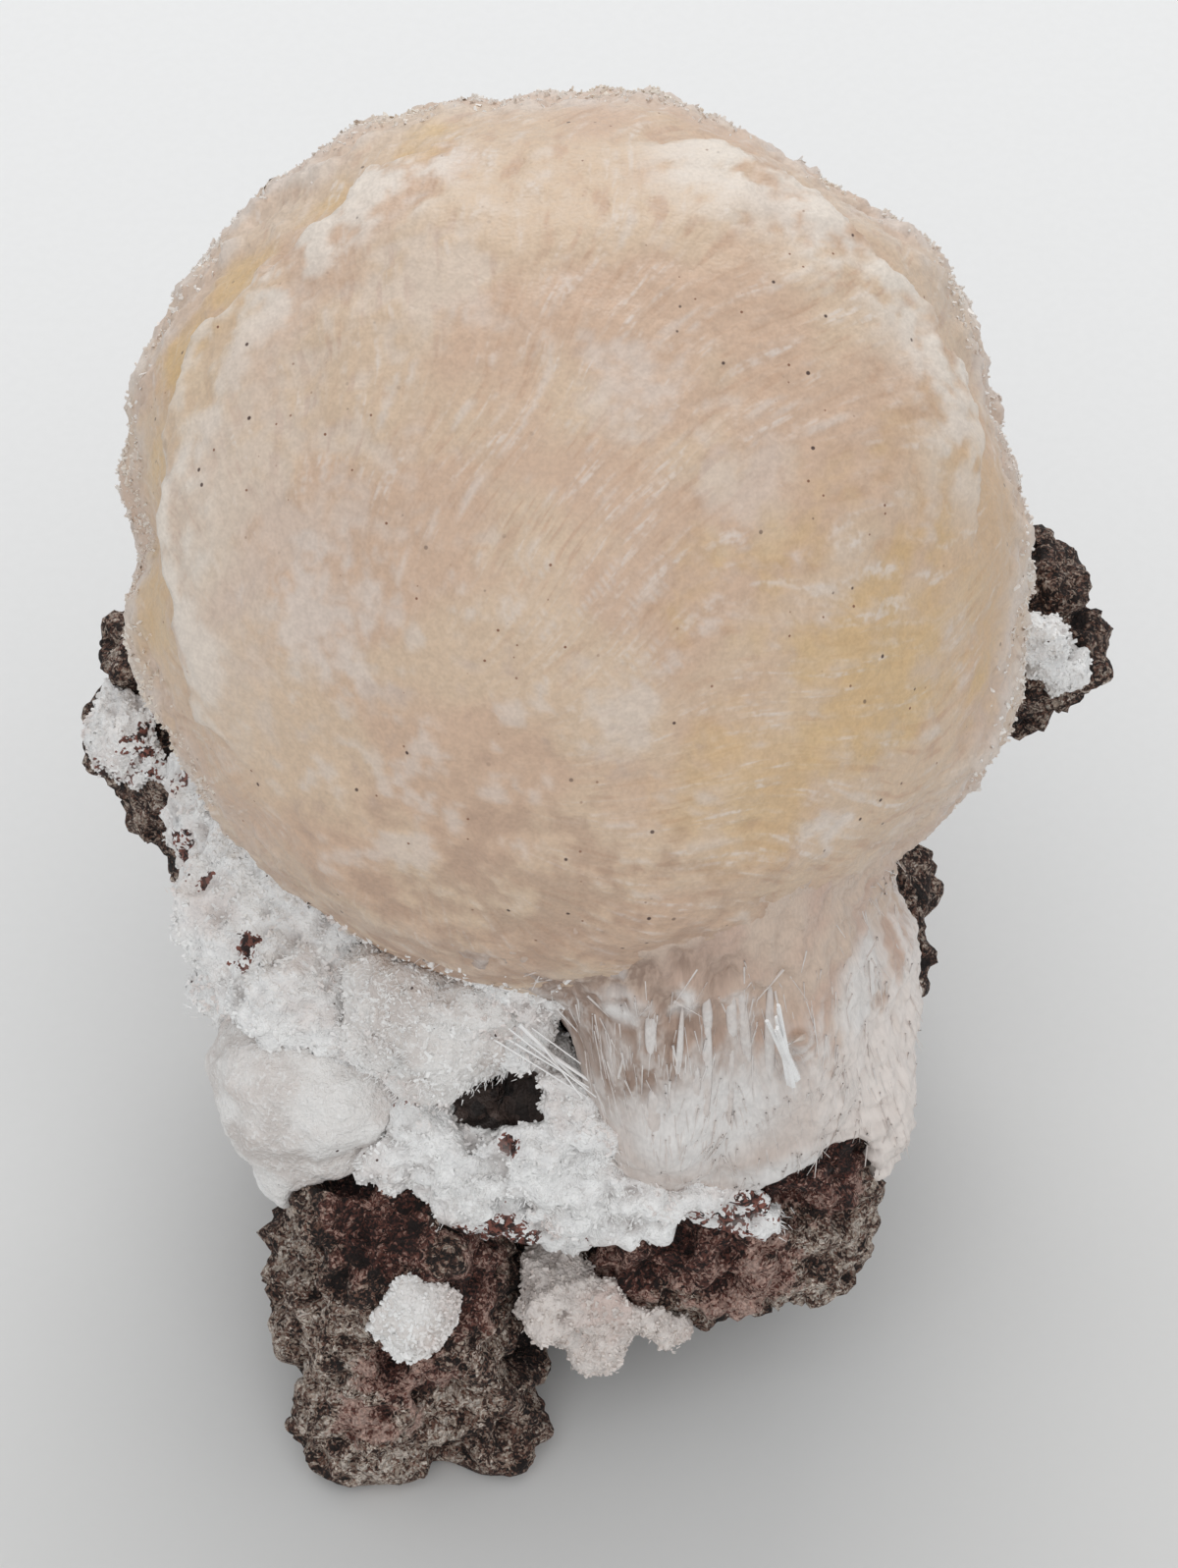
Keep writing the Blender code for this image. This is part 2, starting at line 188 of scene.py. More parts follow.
class Shader:
    """A Principled material, with short names for the nodes that feed it. Lengths are in mm."""

    def __init__(self, name, roughness=0.5, ior=1.5):
        self.material = bpy.data.materials.new(name)
        self.material.use_nodes = True
        self.tree = self.material.node_tree
        self.sockets = self.tree.nodes["Principled BSDF"].inputs
        self.sockets["Roughness"].default_value = roughness
        self.sockets["IOR"].default_value = ior
        place = self.node("TexCoord").outputs["Object"]
        self.mm = self.vector("SCALE", place, Scale=1000.0)

    def feed(self, socket, value):
        if isinstance(value, bpy.types.NodeSocket):
            self.tree.links.new(value, socket)
        elif value is not None:
            socket.default_value = value

    def node(self, kind, *values, operation=None, **named):
        """A new node, with its first sockets and those that are named fed."""
        node = self.tree.nodes.new("ShaderNode" + kind)
        if operation:
            node.operation = operation
        for socket, value in zip(node.inputs, values):
            self.feed(socket, value)
        for name, value in named.items():
            self.feed(node.inputs[name.replace("_", " ")], value)
        return node

    def vector(self, operation, *values, **named):
        return self.node("VectorMath", *values, operation=operation, **named).outputs["Vector"]

    def math(self, operation, first, second):
        return self.node("Math", first, second, operation=operation).outputs[0]

    def times(self, first, second):
        return self.math("MULTIPLY", first, second)

    def plus(self, first, second):
        return self.math("ADD", first, second)

    def noise(self, scale, detail=2.0, rough=0.5, at=None, output="Fac"):
        at = self.mm if at is None else at
        node = self.node("TexNoise", Vector=at, Scale=scale, Detail=detail, Roughness=rough)
        return node.outputs[output]

    def cells(self, vector, scale):
        """(distance, own number) of the nearest scattered point."""
        node = self.node("TexVoronoi", Vector=vector, Scale=scale)
        split = self.node("SeparateColor", node.outputs["Color"])
        return node.outputs["Distance"], split.outputs["Red"]

    def shake(self, vector, scale, amount):
        """The place, pushed about by noise, so that cells look broken rather than round."""
        colour = self.noise(scale, at=vector, output="Color")
        push = self.vector("SUBTRACT", colour, (0.5, 0.5, 0.5))
        return self.vector("ADD", vector, self.vector("SCALE", push, Scale=amount))

    def step(self, value, low, high, to_low=0.0, to_high=1.0):
        """Goes smoothly from one value to another as value passes from low to high."""
        ends = {"From_Min": low, "From_Max": high, "To_Min": to_low, "To_Max": to_high}
        node = self.node("MapRange", Value=value, **ends)
        node.interpolation_type = "SMOOTHSTEP"
        return node.outputs["Result"]

    def mix(self, share, first, second, blend="MIX"):
        node = self.node("Mix")
        node.data_type = "RGBA"
        node.blend_type = blend
        self.feed(node.inputs["Factor"], share)
        colours = [socket for socket in node.inputs if socket.type == "RGBA"]
        for socket, value in zip(colours, (first, second)):
            self.feed(socket, (*value, 1.0) if isinstance(value, tuple) else value)
        return next(socket for socket in node.outputs if socket.type == "RGBA")

    def shade(self, colour, by):
        return self.mix(1.0, colour, by, blend="MULTIPLY")

    def attribute(self, name, output="Fac"):
        node = self.node("Attribute")
        node.attribute_name = name
        return node.outputs[output]

    def dots(self, scale, size, inner, rarity):
        """(where dots lie, own numbers), in the cells whose number is past rarity."""
        distance, number = self.cells(self.mm, scale)
        chosen = self.math("GREATER_THAN", number, rarity)
        return self.times(self.step(distance, size, inner), chosen), number

    def finish(self, colour, *bumps):
        """Each bump is (height from 0 to 1, depth in millimetres)."""
        self.feed(self.sockets["Base Color"], colour)
        if bumps:
            total = 0.0
            for height, depth in bumps:
                total = self.plus(self.times(height, depth), total)
            node = self.node("Bump", Strength=1.0, Distance=MM, Height=total)
            self.feed(self.sockets["Normal"], node.outputs["Normal"])
        return self.material


BALL_PINK = (0.625, 0.443, 0.322)
BALL_CREAM = (0.662, 0.500, 0.362)
BALL_TAN = (0.560, 0.375, 0.260)
BALL_YELLOW = (0.680, 0.470, 0.230)
BALL_WHITE = (0.740, 0.672, 0.622)
# Painted shade: the brown for where the ball curves under.
BALL_UNDERSIDE_SHADE = (0.430, 0.285, 0.210)
BALL_RIDGE = (0.860, 0.800, 0.720)
# Coloured places on the ball: direction, inner and outer angle in degrees, strength.
YELLOW_PATCHES = [
    ((-0.34, 0.36, 0.87), 1, 10, 0.85), ((-0.55, 0.24, 0.80), 1, 8, 0.70),
    ((-0.71, 0.12, 0.69), 1, 7, 0.75), ((-0.80, -0.04, 0.58), 1, 9, 0.85),
    ((-0.88, -0.15, 0.44), 1, 9, 0.80), ((-0.90, -0.36, 0.20), 2, 13, 0.65),
    ((-0.77, -0.15, 0.62), 3, 12, 0.45), ((0.62, -0.70, 0.32), 6, 24, 0.70),
    ((0.35, -0.90, 0.22), 4, 16, 0.55), ((0.85, -0.40, 0.40), 6, 22, 0.35),
]
WHITE_PATCHES = [
    ((0.10, -0.42, 0.90), 1, 8, 0.60), ((-0.52, -0.68, 0.52), 2, 10, 0.75),
    ((0.10, -0.88, 0.42), 1, 7, 0.60), ((0.50, -0.85, 0.05), 2, 5, 0.85),
    ((-0.70, -0.45, 0.55), 6, 26, 0.45), ((-0.30, -0.20, 0.93), 2, 10, 0.45),
    ((0.35, -0.55, 0.75), 2, 8, 0.45),
]
# Painted shade on the ball's low front, where it curves under, in the same terms.
UNDERSIDE_SHADE_PATCHES = [
    ((-0.12, -0.98, -0.14), 6, 26, 0.50), ((0.25, -0.95, -0.18), 4, 16, 0.40),
]
# Dark specks: how many cells a millimetre, speck size as a share of a cell, rarity, colour.
SPECKS = [
    (0.90, 0.105, 0.45, (0.08, 0.045, 0.035)),
    (1.50, 0.120, 0.70, (0.24, 0.11, 0.06)),
]


def ball_material():
    """Waxy, faintly see-through fibres. The broad colours are kept at the vertices."""
    s = Shader("ball_surface", ior=1.52)
    fine = s.noise(2.6, detail=1.0, rough=0.6)
    sugar = s.noise(7.0, detail=0.0)
    dash = s.noise(1.0, rough=0.55, at=s.attribute("strands", "Vector"))
    colour = s.mix(s.attribute("cream"), BALL_PINK, BALL_CREAM)
    colour = s.mix(s.times(s.step(dash, 0.50, 0.34), s.attribute("tan")), colour, BALL_TAN)
    colour = s.mix(s.attribute("yellow"), colour, BALL_YELLOW)
    wisp = s.times(s.step(dash, 0.50, 0.70, 0.0, 0.62), s.step(fine, 0.34, 0.60, 0.15, 1.0))
    wisp = s.times(wisp, s.attribute("wisps"))
    colour = s.mix(s.math("MAXIMUM", wisp, s.attribute("white")), colour, BALL_WHITE)
    # Painted shade: brown on the ball's underside.
    colour = s.mix(s.attribute("brown"), colour, BALL_UNDERSIDE_SHADE)
    colour = s.mix(s.attribute("ridge"), colour, BALL_RIDGE)
    grain = s.times(s.step(fine, 0.3, 0.7, 0.95, 1.04), s.step(sugar, 0.3, 0.7, 0.97, 1.03))
    colour = s.shade(colour, grain)
    crowd = s.attribute("specks")
    for scale, size, rarity, tone in SPECKS:
        dot, _ = s.dots(scale, size, size * 0.55, rarity)
        colour = s.mix(s.times(dot, crowd), colour, tone)
    s.feed(s.sockets["Roughness"], s.step(fine, 0.3, 0.7, 0.42, 0.58))
    dashes = s.times(dash, s.attribute("wisps"))
    return s.finish(colour, (fine, 0.04), (sugar, 0.02), (dashes, 0.06))


def crystal_material():
    """The small glassy crystals of the ball's rim."""
    s = Shader("rim_crystals", roughness=0.28, ior=1.53)
    tint = s.noise(0.35, detail=3.0)
    colour = s.mix(s.step(tint, 0.35, 0.65), (0.86, 0.78, 0.71), (0.94, 0.91, 0.87))
    warm = s.step(s.noise(0.09), 0.50, 0.66, 0.0, 0.5)
    s.sockets["Transmission Weight"].default_value = 0.15
    return s.finish(s.mix(warm, colour, (0.86, 0.74, 0.58)), (s.noise(6.0), 0.03))


def blush(share):
    """A factor that turns white pinkish grey as share falls from 1."""
    return share, share**1.5, share**1.8


def chalk_material(name, warmth=0.35, tint=1.0):
    """Chalky to silky white crystal masses, with rusty and black grains where rock shows through, grey
    painted shade in the pits and near-black painted shade in the cavity.
    """
    s = Shader(name, roughness=0.68)
    middle = s.noise(1.1, rough=0.6)
    small = s.noise(6.0, detail=1.0, rough=0.6)
    colour = s.mix(s.step(middle, 0.35, 0.65), (0.84, 0.835, 0.83), (0.96, 0.958, 0.95))
    colour = s.shade(colour, blush(tint))
    warm = s.step(s.noise(0.28, detail=3.0), 0.50, 0.68, 0.0, warmth)
    colour = s.mix(warm, colour, (0.68, 0.55, 0.50))
    grey = s.step(s.noise(0.45), 0.58, 0.72, 0.0, 0.35)
    colour = s.mix(grey, colour, (0.56, 0.53, 0.51))
    _, number = s.cells(s.shake(s.mm, 2.2, 0.4), 6.5)
    crowd = s.plus(s.times(s.attribute("rust"), 0.66), s.times(number, 0.45))
    crowd = s.plus(crowd, s.step(middle, 0.35, 0.65, -0.25, 0.25))
    rust = s.mix(s.step(number, 0.35, 1.0), (0.020, 0.008, 0.007), (0.24, 0.085, 0.062))
    colour = s.mix(s.step(crowd, 0.72, 0.78), colour, rust)
    dot, number = s.dots(1.6, 0.13, 0.08, 0.78)
    colour = s.mix(dot, colour, (0.10, 0.06, 0.05))
    # Painted shade: grey in the crust's pits and low places.
    colour = s.mix(s.times(s.attribute("hollow"), 0.55), colour, (0.42, 0.37, 0.35))
    body = s.plus(s.attribute("body"), s.times(middle, 0.8))
    colour = s.mix(s.step(body, 0.60, 1.15), colour, (0.62, 0.49, 0.39))
    # Painted shade: near black in the cavity between the dome and the fan.
    char = s.step(s.plus(s.attribute("char"), s.times(small, 0.5)), 0.55, 0.75)
    colour = s.mix(char, colour, s.mix(number, (0.012, 0.009, 0.008), (0.09, 0.06, 0.05)))
    return s.finish(colour, (middle, 0.30), (small, 0.12))


def fibre_material():
    """Silky, slightly see-through fibres, in the ball's own colours where they leave it."""
    s = Shader("fan_fibres", roughness=0.36, ior=1.53)
    silk = s.attribute("silk", "Vector")
    strand = s.noise(1.0, rough=0.6, at=silk)
    thread = s.noise(3.6, detail=1.0, at=silk)
    cloud = s.noise(0.24)
    colour = s.mix(s.step(strand, 0.34, 0.66), (0.62, 0.55, 0.51), (0.72, 0.675, 0.645))
    colour = s.mix(s.step(cloud, 0.38, 0.60, 0.0, 0.6), colour, (0.61, 0.50, 0.44))
    colour = s.mix(s.attribute("pale"), colour, (0.86, 0.79, 0.745))
    reach = s.plus(s.attribute("body"), s.times(strand, -0.5))
    body = s.mix(s.step(cloud, 0.40, 0.60), (0.590, 0.430, 0.345), (0.635, 0.500, 0.405))
    colour = s.mix(s.step(reach, -0.25, 0.50), colour, body)
    # Painted shade: dark brown where the fan's left part lies under the ball, carried as tan.
    tan = s.times(s.attribute("tan"), s.step(strand, 0.66, 0.42, 0.45, 1.0))
    colour = s.mix(tan, colour, (0.315, 0.215, 0.165))
    colour = s.mix(s.times(s.attribute("milk"), 0.75), colour, (0.84, 0.83, 0.82))
    colour = s.shade(colour, s.step(thread, 0.3, 0.7, 0.94, 1.05))
    return s.finish(colour, (strand, 0.05), (thread, 0.02))


def needle_material():
    s = Shader("needles", roughness=0.22, ior=1.53)
    tint = s.step(s.noise(0.8), 0.35, 0.65)
    colour = s.mix(tint, (0.93, 0.925, 0.92), (0.99, 0.99, 0.985))
    grooves = s.noise(9.0, at=s.vector("MULTIPLY", s.mm, (1.0, 1.0, 0.2)))
    return s.finish(colour, (grooves, 0.02))


def tuft_material(name, tint=1.0):
    s = Shader(name)
    drift = s.step(s.noise(0.6, detail=3.0), 0.35, 0.65)
    colour = s.mix(drift, (0.80, 0.79, 0.78), (0.93, 0.928, 0.92))
    pink = s.step(s.noise(0.22), 0.54, 0.70, 0.0, 0.35)
    colour = s.shade(s.mix(pink, colour, (0.72, 0.56, 0.50)), blush(tint))
    return s.finish(colour, (s.noise(8.0), 0.02))


def spherule_material(name, warmth, frost):
    """Half-balls of radiating crystals, translucent at the rim."""
    s = Shader(name, ior=1.53)
    cloud = s.noise(0.32, rough=0.55)
    grain = s.noise(4.5, rough=0.6)
    colour = s.mix(s.step(cloud, 0.36, 0.60), (0.66, 0.61, 0.58), (0.84, 0.82, 0.80))
    warm = s.step(s.noise(0.24), 0.46, 0.64, 0.0, warmth)
    colour = s.mix(warm, colour, (0.66, 0.56, 0.51))
    colour = s.mix(s.step(grain, 0.50, 0.66, 0.0, frost), colour, (0.92, 0.91, 0.90))
    colour = s.mix(s.attribute("lip"), colour, (0.95, 0.945, 0.935))
    dot, _ = s.dots(1.1, 0.10, 0.07, 0.72)
    colour = s.mix(dot, colour, (0.08, 0.05, 0.045))
    crowd = s.times(s.attribute("rust"), s.step(grain, 0.45, 0.60))
    colour = s.mix(s.times(crowd, 0.8), colour, (0.30, 0.14, 0.11))
    return s.finish(colour, (grain, 0.16), (cloud, 0.25))


# The rock's colours: the tones between which each comes in, and the colour.
ROCK_TONES = [
    (0.22, 0.32, (0.045, 0.022, 0.016)),
    (0.40, 0.46, (0.150, 0.074, 0.052)),
    (0.54, 0.60, (0.300, 0.215, 0.170)),
    (0.68, 0.74, (0.450, 0.365, 0.300)),
    (0.84, 0.92, (0.690, 0.610, 0.540)),
]


def rock_material():
    """Vesicular basalt: broken grains from black over red-brown to pale beige."""
    s = Shader("basalt_surface", roughness=0.85)
    lump = s.noise(0.8, detail=3.0, rough=0.6)
    grit = s.noise(5.5, rough=0.65)
    broken = s.shake(s.mm, 2.2, 0.55)
    _, coarse = s.cells(broken, 3.4)
    _, small = s.cells(broken, 8.5)
    tone = s.plus(s.times(coarse, 0.34), s.times(small, 0.60))
    tone = s.plus(tone, s.step(lump, 0.32, 0.68, -0.22, 0.22))
    tone = s.plus(tone, s.times(s.attribute("pale"), 0.24))
    # Painted shade: darker in the pits, the crack and the hollows.
    tone = s.plus(tone, s.times(s.attribute("hollow"), -0.34))
    colour = (0.010, 0.005, 0.004)
    for low, high, paler in ROCK_TONES:
        colour = s.mix(s.step(tone, low, high), colour, paler)
    red = s.mix(s.step(tone, 0.04, 0.40), (0.016, 0.006, 0.005), (0.135, 0.042, 0.030))
    red = s.mix(s.step(tone, 0.42, 0.72), red, (0.48, 0.29, 0.24))
    rust = s.plus(s.attribute("rust"), s.step(lump, 0.35, 0.65, -0.7, 0.1))
    colour = s.mix(s.step(rust, 0.0, 0.4, 0.0, 0.75), colour, red)
    colour = s.shade(colour, s.step(grit, 0.30, 0.70, 0.62, 1.30))
    return s.finish(colour, (lump, 0.6), (grit, 0.30), (tone, 0.30))


def floor_material():
    s = Shader("pale_floor", roughness=0.75)
    drift = s.step(s.noise(0.012), 0.3, 0.7, 0.0, 0.08)
    tooth = s.step(s.noise(1.6, detail=1.0), 0.3, 0.7, 0.0, 0.05)
    # Painted shade: the floor darker towards the front and lighter towards the back.
    back = s.step(s.node("SeparateXYZ", s.mm).outputs["Y"], -70.0, 70.0)
    colour = s.mix(back, (0.675, 0.675, 0.665), (0.845, 0.848, 0.848))
    colour = s.mix(drift, colour, (0.72, 0.72, 0.71))
    return s.finish(s.mix(tooth, colour, (0.66, 0.66, 0.65)))


# The ball


def face_angles(direction):
    angle = math.acos(max(-1.0, min(1.0, direction.dot(FACE_AXIS))))
    bearing = math.atan2(direction.dot(FACE_UP), direction.dot(FACE_RIGHT))
    return angle, bearing


def smoothstep(low, high, value):
    t = min(1.0, max(0.0, (value - low) / (high - low)))
    return t * t * (3.0 - 2.0 * t)


def ledge_shares(bearing):
    degrees = math.degrees(bearing)
    right = smoothstep(-8, 18, degrees) * (1.0 - smoothstep(66, 88, degrees))
    turned = degrees % 360
    left = smoothstep(98, 118, turned) * (1.0 - smoothstep(190, 222, turned))
    return right, left


def outline_rise(bearing):
    step = math.degrees(bearing) % 360 / 10
    first = int(step) % 36
    share = smoothstep(0.0, 1.0, step - int(step))
    return MM * (OUTLINE[first] * (1.0 - share) + OUTLINE[(first + 1) % 36] * share)


def ball_form(direction, crisp=0.0, jag=0.0):
    """(distance from the centre, ridge, rim, below) in a direction. crisp sharpens the ledge's step,
    and jag moves it back and forth, for the fine surface."""
    angle, bearing = face_angles(direction)
    right, left = ledge_shares(bearing)
    waver = math.radians(5.0) * noise.noise(direction * 3.0) + jag
    rise = SWELL * noise.noise(direction * 2.3 + Vector((4.0, 1.0, 7.0)))
    rise += 0.4 * SWELL * noise.noise(direction * 6.0)
    fall = math.radians(5.0 - 2.4 * crisp)
    ridge = 0.0
    for share, ledge in ((right, LEDGE_ANGLE_RIGHT), (left, LEDGE_ANGLE_LEFT)):
        past = angle + waver - ledge
        plateau = smoothstep(math.radians(-32), math.radians(-4), past)
        rise += share * LEDGE_RISE * plateau * (1.0 - smoothstep(0.0, fall, past))
        lip = math.exp(-((past / math.radians(3.5)) ** 2))
        rise += share * LEDGE_LIP * lip
        edge = math.exp(-((past / math.radians(8.5 if past < 0 else 2.4)) ** 2))
        ridge = max(ridge, share * edge)
    limb = smoothstep(math.radians(52), math.radians(78), angle)
    limb *= 1.0 - smoothstep(math.radians(112), math.radians(160), angle)
    rise += limb * outline_rise(bearing)
    below = smoothstep(math.radians(58), math.radians(80), angle)
    below *= smoothstep(0.5, 0.95, -math.sin(bearing))
    rise -= UNDERCUT * below
    rim = smoothstep(math.radians(62), math.radians(74), angle + waver) * (1.0 - below)
    return BALL_RADIUS + rise, ridge, rim, below


def find_ball_centre():
    """The ball's true centre, from the box of its solid and the box of its form."""
    bm = bmesh.new()
    bmesh.ops.create_icosphere(bm, subdivisions=5, radius=1.0)
    directions = [vertex.co.normalized() for vertex in bm.verts]
    bm.free()
    points = []
    for direction in directions:
        radius, _, rim, _ = ball_form(direction)
        radius += rim * DRUSE * (0.5 - 1.7 * abs(noise.noise(direction * 13.0)))
        points.append(direction * radius)
    points = np.array(points)
    own = (points.min(axis=0) + points.max(axis=0)) / 2
    low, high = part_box("thomsonite_ball")
    return (low + high) / 2 - Vector(own)


def cube_sphere(divisions):
    """Unit directions and quads of a cube's faces blown up to a sphere, evenly spread."""
    bm = bmesh.new()
    bmesh.ops.create_cube(bm, size=2.0)
    bmesh.ops.subdivide_edges(bm, edges=bm.edges, cuts=divisions - 1, use_grid_fill=True)
    flat = np.array([vertex.co for vertex in bm.verts])
    bm.verts.ensure_lookup_table()
    faces = [[vertex.index for vertex in face.verts] for face in bm.faces]
    bm.free()
    return unit(np.tan(flat * math.pi / 4)), faces


def streaks(along, bearing, around, lengthwise, seed, octaves=2):
    """Noise drawn out along the fibres."""
    place = np.stack(
        [np.cos(bearing) * around, np.sin(bearing) * around, along * lengthwise], axis=1
    )
    return waves(place, 1.0, seed=seed, octaves=octaves, rough=0.6)


def patchwork(directions, places, ragged):
    """The most that any of the coloured places reaches each direction."""
    most = np.zeros(len(directions))
    for place, inner, outer, share in places:
        toward = np.array(Vector(place).normalized())
        angle = np.degrees(np.arccos(np.clip(directions @ toward, -1, 1)))
        angle += ragged * 0.85 * outer
        most = np.maximum(most, share * smooth(outer, inner, angle))
    return most


def make_ball(centre, material):
    directions, faces = cube_sphere(126)
    jags = waves(directions, 0.12, seed=4, octaves=3, rough=0.5) * math.radians(2.6)
    forms = [ball_form(Vector(d), crisp=1.0, jag=j) for d, j in zip(directions, jags)]
    radius, ridge, rim, below = np.array(forms).T
    face = 1.0 - rim

    side = np.array(STREAK_POLE.cross(FACE_UP).normalized())
    other = np.cross(np.array(STREAK_POLE), side)
    along = np.arccos(np.clip(directions @ np.array(STREAK_POLE), -1, 1))
    bearing = np.arctan2(directions @ other, directions @ side)
    bearing += 0.16 * waves(directions, 0.5, seed=14)
    drawn = smooth(math.radians(12), math.radians(38), along)
    broad = streaks(along, bearing, 13.0, 3.0, 15)
    dashes = streaks(along, bearing, 30.0, 5.0, 16)
    cloud = waves(directions, 0.34, seed=18, octaves=3)
    mottle = waves(directions, 0.085, seed=19, octaves=3, rough=0.65)
    broad = broad * drawn + cloud * (1.0 - drawn)
    dashes = dashes * drawn + mottle * (1.0 - drawn)
    strands = np.stack([np.cos(bearing) * 36.0, np.sin(bearing) * 36.0, along * 8.0], axis=1)

    knobs, _ = cells(directions, 0.030, seed=2)
    small, _ = cells(directions, 0.015, seed=3)
    broken = waves(directions, 0.11, seed=6, octaves=3)
    shelf = smooth(-0.1, 0.4, waves(directions, 0.16, seed=8, octaves=2))
    radius += rim * (0.30 * (0.5 - knobs) + 0.16 * (0.5 - small) + 0.40 * broken) * MM
    radius += rim * shelf * 0.25 * MM
    radius += face * (0.08 * mottle + 0.05 * dashes * drawn + 0.03 * (0.5 - small)) * MM
    radius += face * 0.16 * waves(directions, 0.20, seed=9, octaves=2) * MM
    radius += ridge * 0.10 * waves(directions, 0.08, seed=12, octaves=3) * MM
    points = np.array(centre) + directions * radius[:, None]

    ball = mesh_object("ball_of_fibres", points, faces, material)
    wisps = smooth(-0.45, 0.35, broad + 0.4 * mottle) * (0.1 + 0.9 * drawn)
    white = np.maximum(
        0.45 * smooth(0.15, 0.65, dashes) * smooth(-0.2, 0.4, mottle),
        0.8 * patchwork(directions, WHITE_PATCHES, mottle),
    )
    white = np.maximum(white, rim * (0.30 + 0.40 * smooth(-0.1, 0.5, broken)))
    white = np.maximum(white, 0.50 * smooth(0.02, 0.6, ridge) * smooth(-0.4, 0.3, mottle))
    yellow = patchwork(directions, YELLOW_PATCHES, cloud * 0.8 + mottle * 0.4)
    # Painted shade where the ball curves under: the low front patches, and below its outline.
    brown = patchwork(directions, UNDERSIDE_SHADE_PATCHES, mottle) * smooth(0.4, -0.3, mottle)
    crowd = smooth(-0.25, 0.25, waves(directions, 0.42, seed=22, octaves=2))
    paint(
        ball.data,
        strands=strands,
        cream=smooth(-0.25, 0.35, cloud),
        tan=0.8 * smooth(0.35, -0.35, mottle + 0.5 * broad) * drawn,
        wisps=wisps,
        yellow=yellow,
        white=np.clip(white * (1.0 - 0.75 * yellow), 0.0, 1.0),
        brown=np.maximum(brown, 0.7 * below * smooth(0.5, -0.2, mottle)),
        ridge=0.60 * ridge * (1.0 - 0.7 * yellow) * smooth(-0.6, 0.3, mottle),
        specks=crowd * (1.0 - 0.6 * rim),
    )
    return settle(ball, "thomsonite_pink", "thomsonite_ball")


# Small crystals and fibres, as joined meshes

# How many places on the ball are tried for a rim crystal, and the most that are used.
RIM_TRIES = 60000
RIM_CRYSTALS = 17500


def frames(directions, rng):
    """Two unit vectors square to each direction, turned at random."""
    first = unit(np.cross(directions, rng.normal(size=directions.shape)))
    return first, np.cross(directions, first)


def prisms(name, roots, directions, lengths, widths, material, rng, sides, taper, flat=1.0, sunk=0.0):
    """Many small crystals in one mesh. Each is a slim prism with a slanted tip, sunk by a share of its
    length."""
    count = len(roots)
    roots = roots - directions * (lengths * sunk)[:, None]
    first, second = frames(directions, rng)
    turn = np.arange(sides) / sides * 2 * math.pi
    ring = (
        first[:, None, :] * np.cos(turn)[None, :, None]
        + second[:, None, :] * np.sin(turn)[None, :, None] * flat
    )
    sized = ring * widths[:, None, None]
    reach = directions * lengths[:, None]
    foot = roots[:, None, :] + sized
    slant = (first * rng.uniform(-0.4, 0.4, (count, 1))) * widths[:, None]
    tip = roots + reach + slant
    crown = tip[:, None, :] + sized * taper
    vertices = np.concatenate([foot, crown], axis=1).reshape(-1, 3)
    start = (np.arange(count) * 2 * sides)[:, None, None]
    walls = [(i, (i + 1) % sides, sides + (i + 1) % sides, sides + i) for i in range(sides)]
    quads = (np.array(walls)[None] + start).reshape(-1, 4)
    ends = (np.arange(sides, 2 * sides)[None, None] + start).reshape(-1, sides)
    return mesh_object(name, vertices, quads.tolist() + ends.tolist(), material, flat=True)


def scatter(mesh, count, rng, wanted=None):
    """Random points spread evenly over a mesh, with their normals. wanted takes the points and the
    normals and gives the share of each that is kept."""
    mesh.calc_loop_triangles()
    corners = read(mesh.loop_triangles, "vertices", 3, np.int64)
    points = coordinates(mesh)
    a, b, c = (points[corners[:, i]] for i in range(3))
    cross = np.cross(b - a, c - a)
    area = np.linalg.norm(cross, axis=1)
    pick = rng.choice(len(corners), size=count, p=area / area.sum())
    u, v = rng.random((2, count))
    flip = u + v > 1
    u, v = np.where(flip, 1 - u, u), np.where(flip, 1 - v, v)
    spots = a[pick] + (b - a)[pick] * u[:, None] + (c - a)[pick] * v[:, None]
    facing = cross[pick] / np.maximum(area[pick], 1e-20)[:, None]
    if wanted is None:
        return spots, facing
    kept = rng.random(count) < wanted(spots, facing)
    return spots[kept], facing[kept]


def lean(directions, amount, rng):
    """The directions, each tipped at random by about this much (the tangent of the angle)."""
    return unit(directions + rng.normal(size=directions.shape) * amount)


def blocks(name, spots, facing, material, rng, size, longest, tilt, **form):
    """Blocky little crystals, half sunk where they stand."""
    widths = rng.uniform(*size, len(spots)) * MM
    lengths = widths * rng.uniform(1.6, longest, len(spots))
    directions = lean(facing, tilt, rng)
    return prisms(
        name, spots, directions, lengths, widths, material, rng, sides=4, sunk=0.5, **form
    )


def on_the_rim(spots, facing):
    """The ball's rim, but not its low front or where it sits on the rock."""
    away = unit((spots - np.array(centre)) / BALL_RADIUS)
    angle = np.degrees(np.arccos(np.clip(away @ np.array(FACE_AXIS), -1, 1)))
    bearing = np.degrees(np.arctan2(away @ np.array(FACE_UP), away @ np.array(FACE_RIGHT)))
    patchy = 0.6 + 0.8 * waves(away, 0.2, seed=31, octaves=2)
    seen = smooth(68, 84, angle) * (1.0 - 0.72 * smooth(100, 118, angle))
    low = (bearing < -35) & (bearing > -145) & (angle < 100)
    seated = away[:, 2] < -0.62
    return np.where(low | seated, 0.0, seen * np.clip(patchy, 0.12, 1.0))


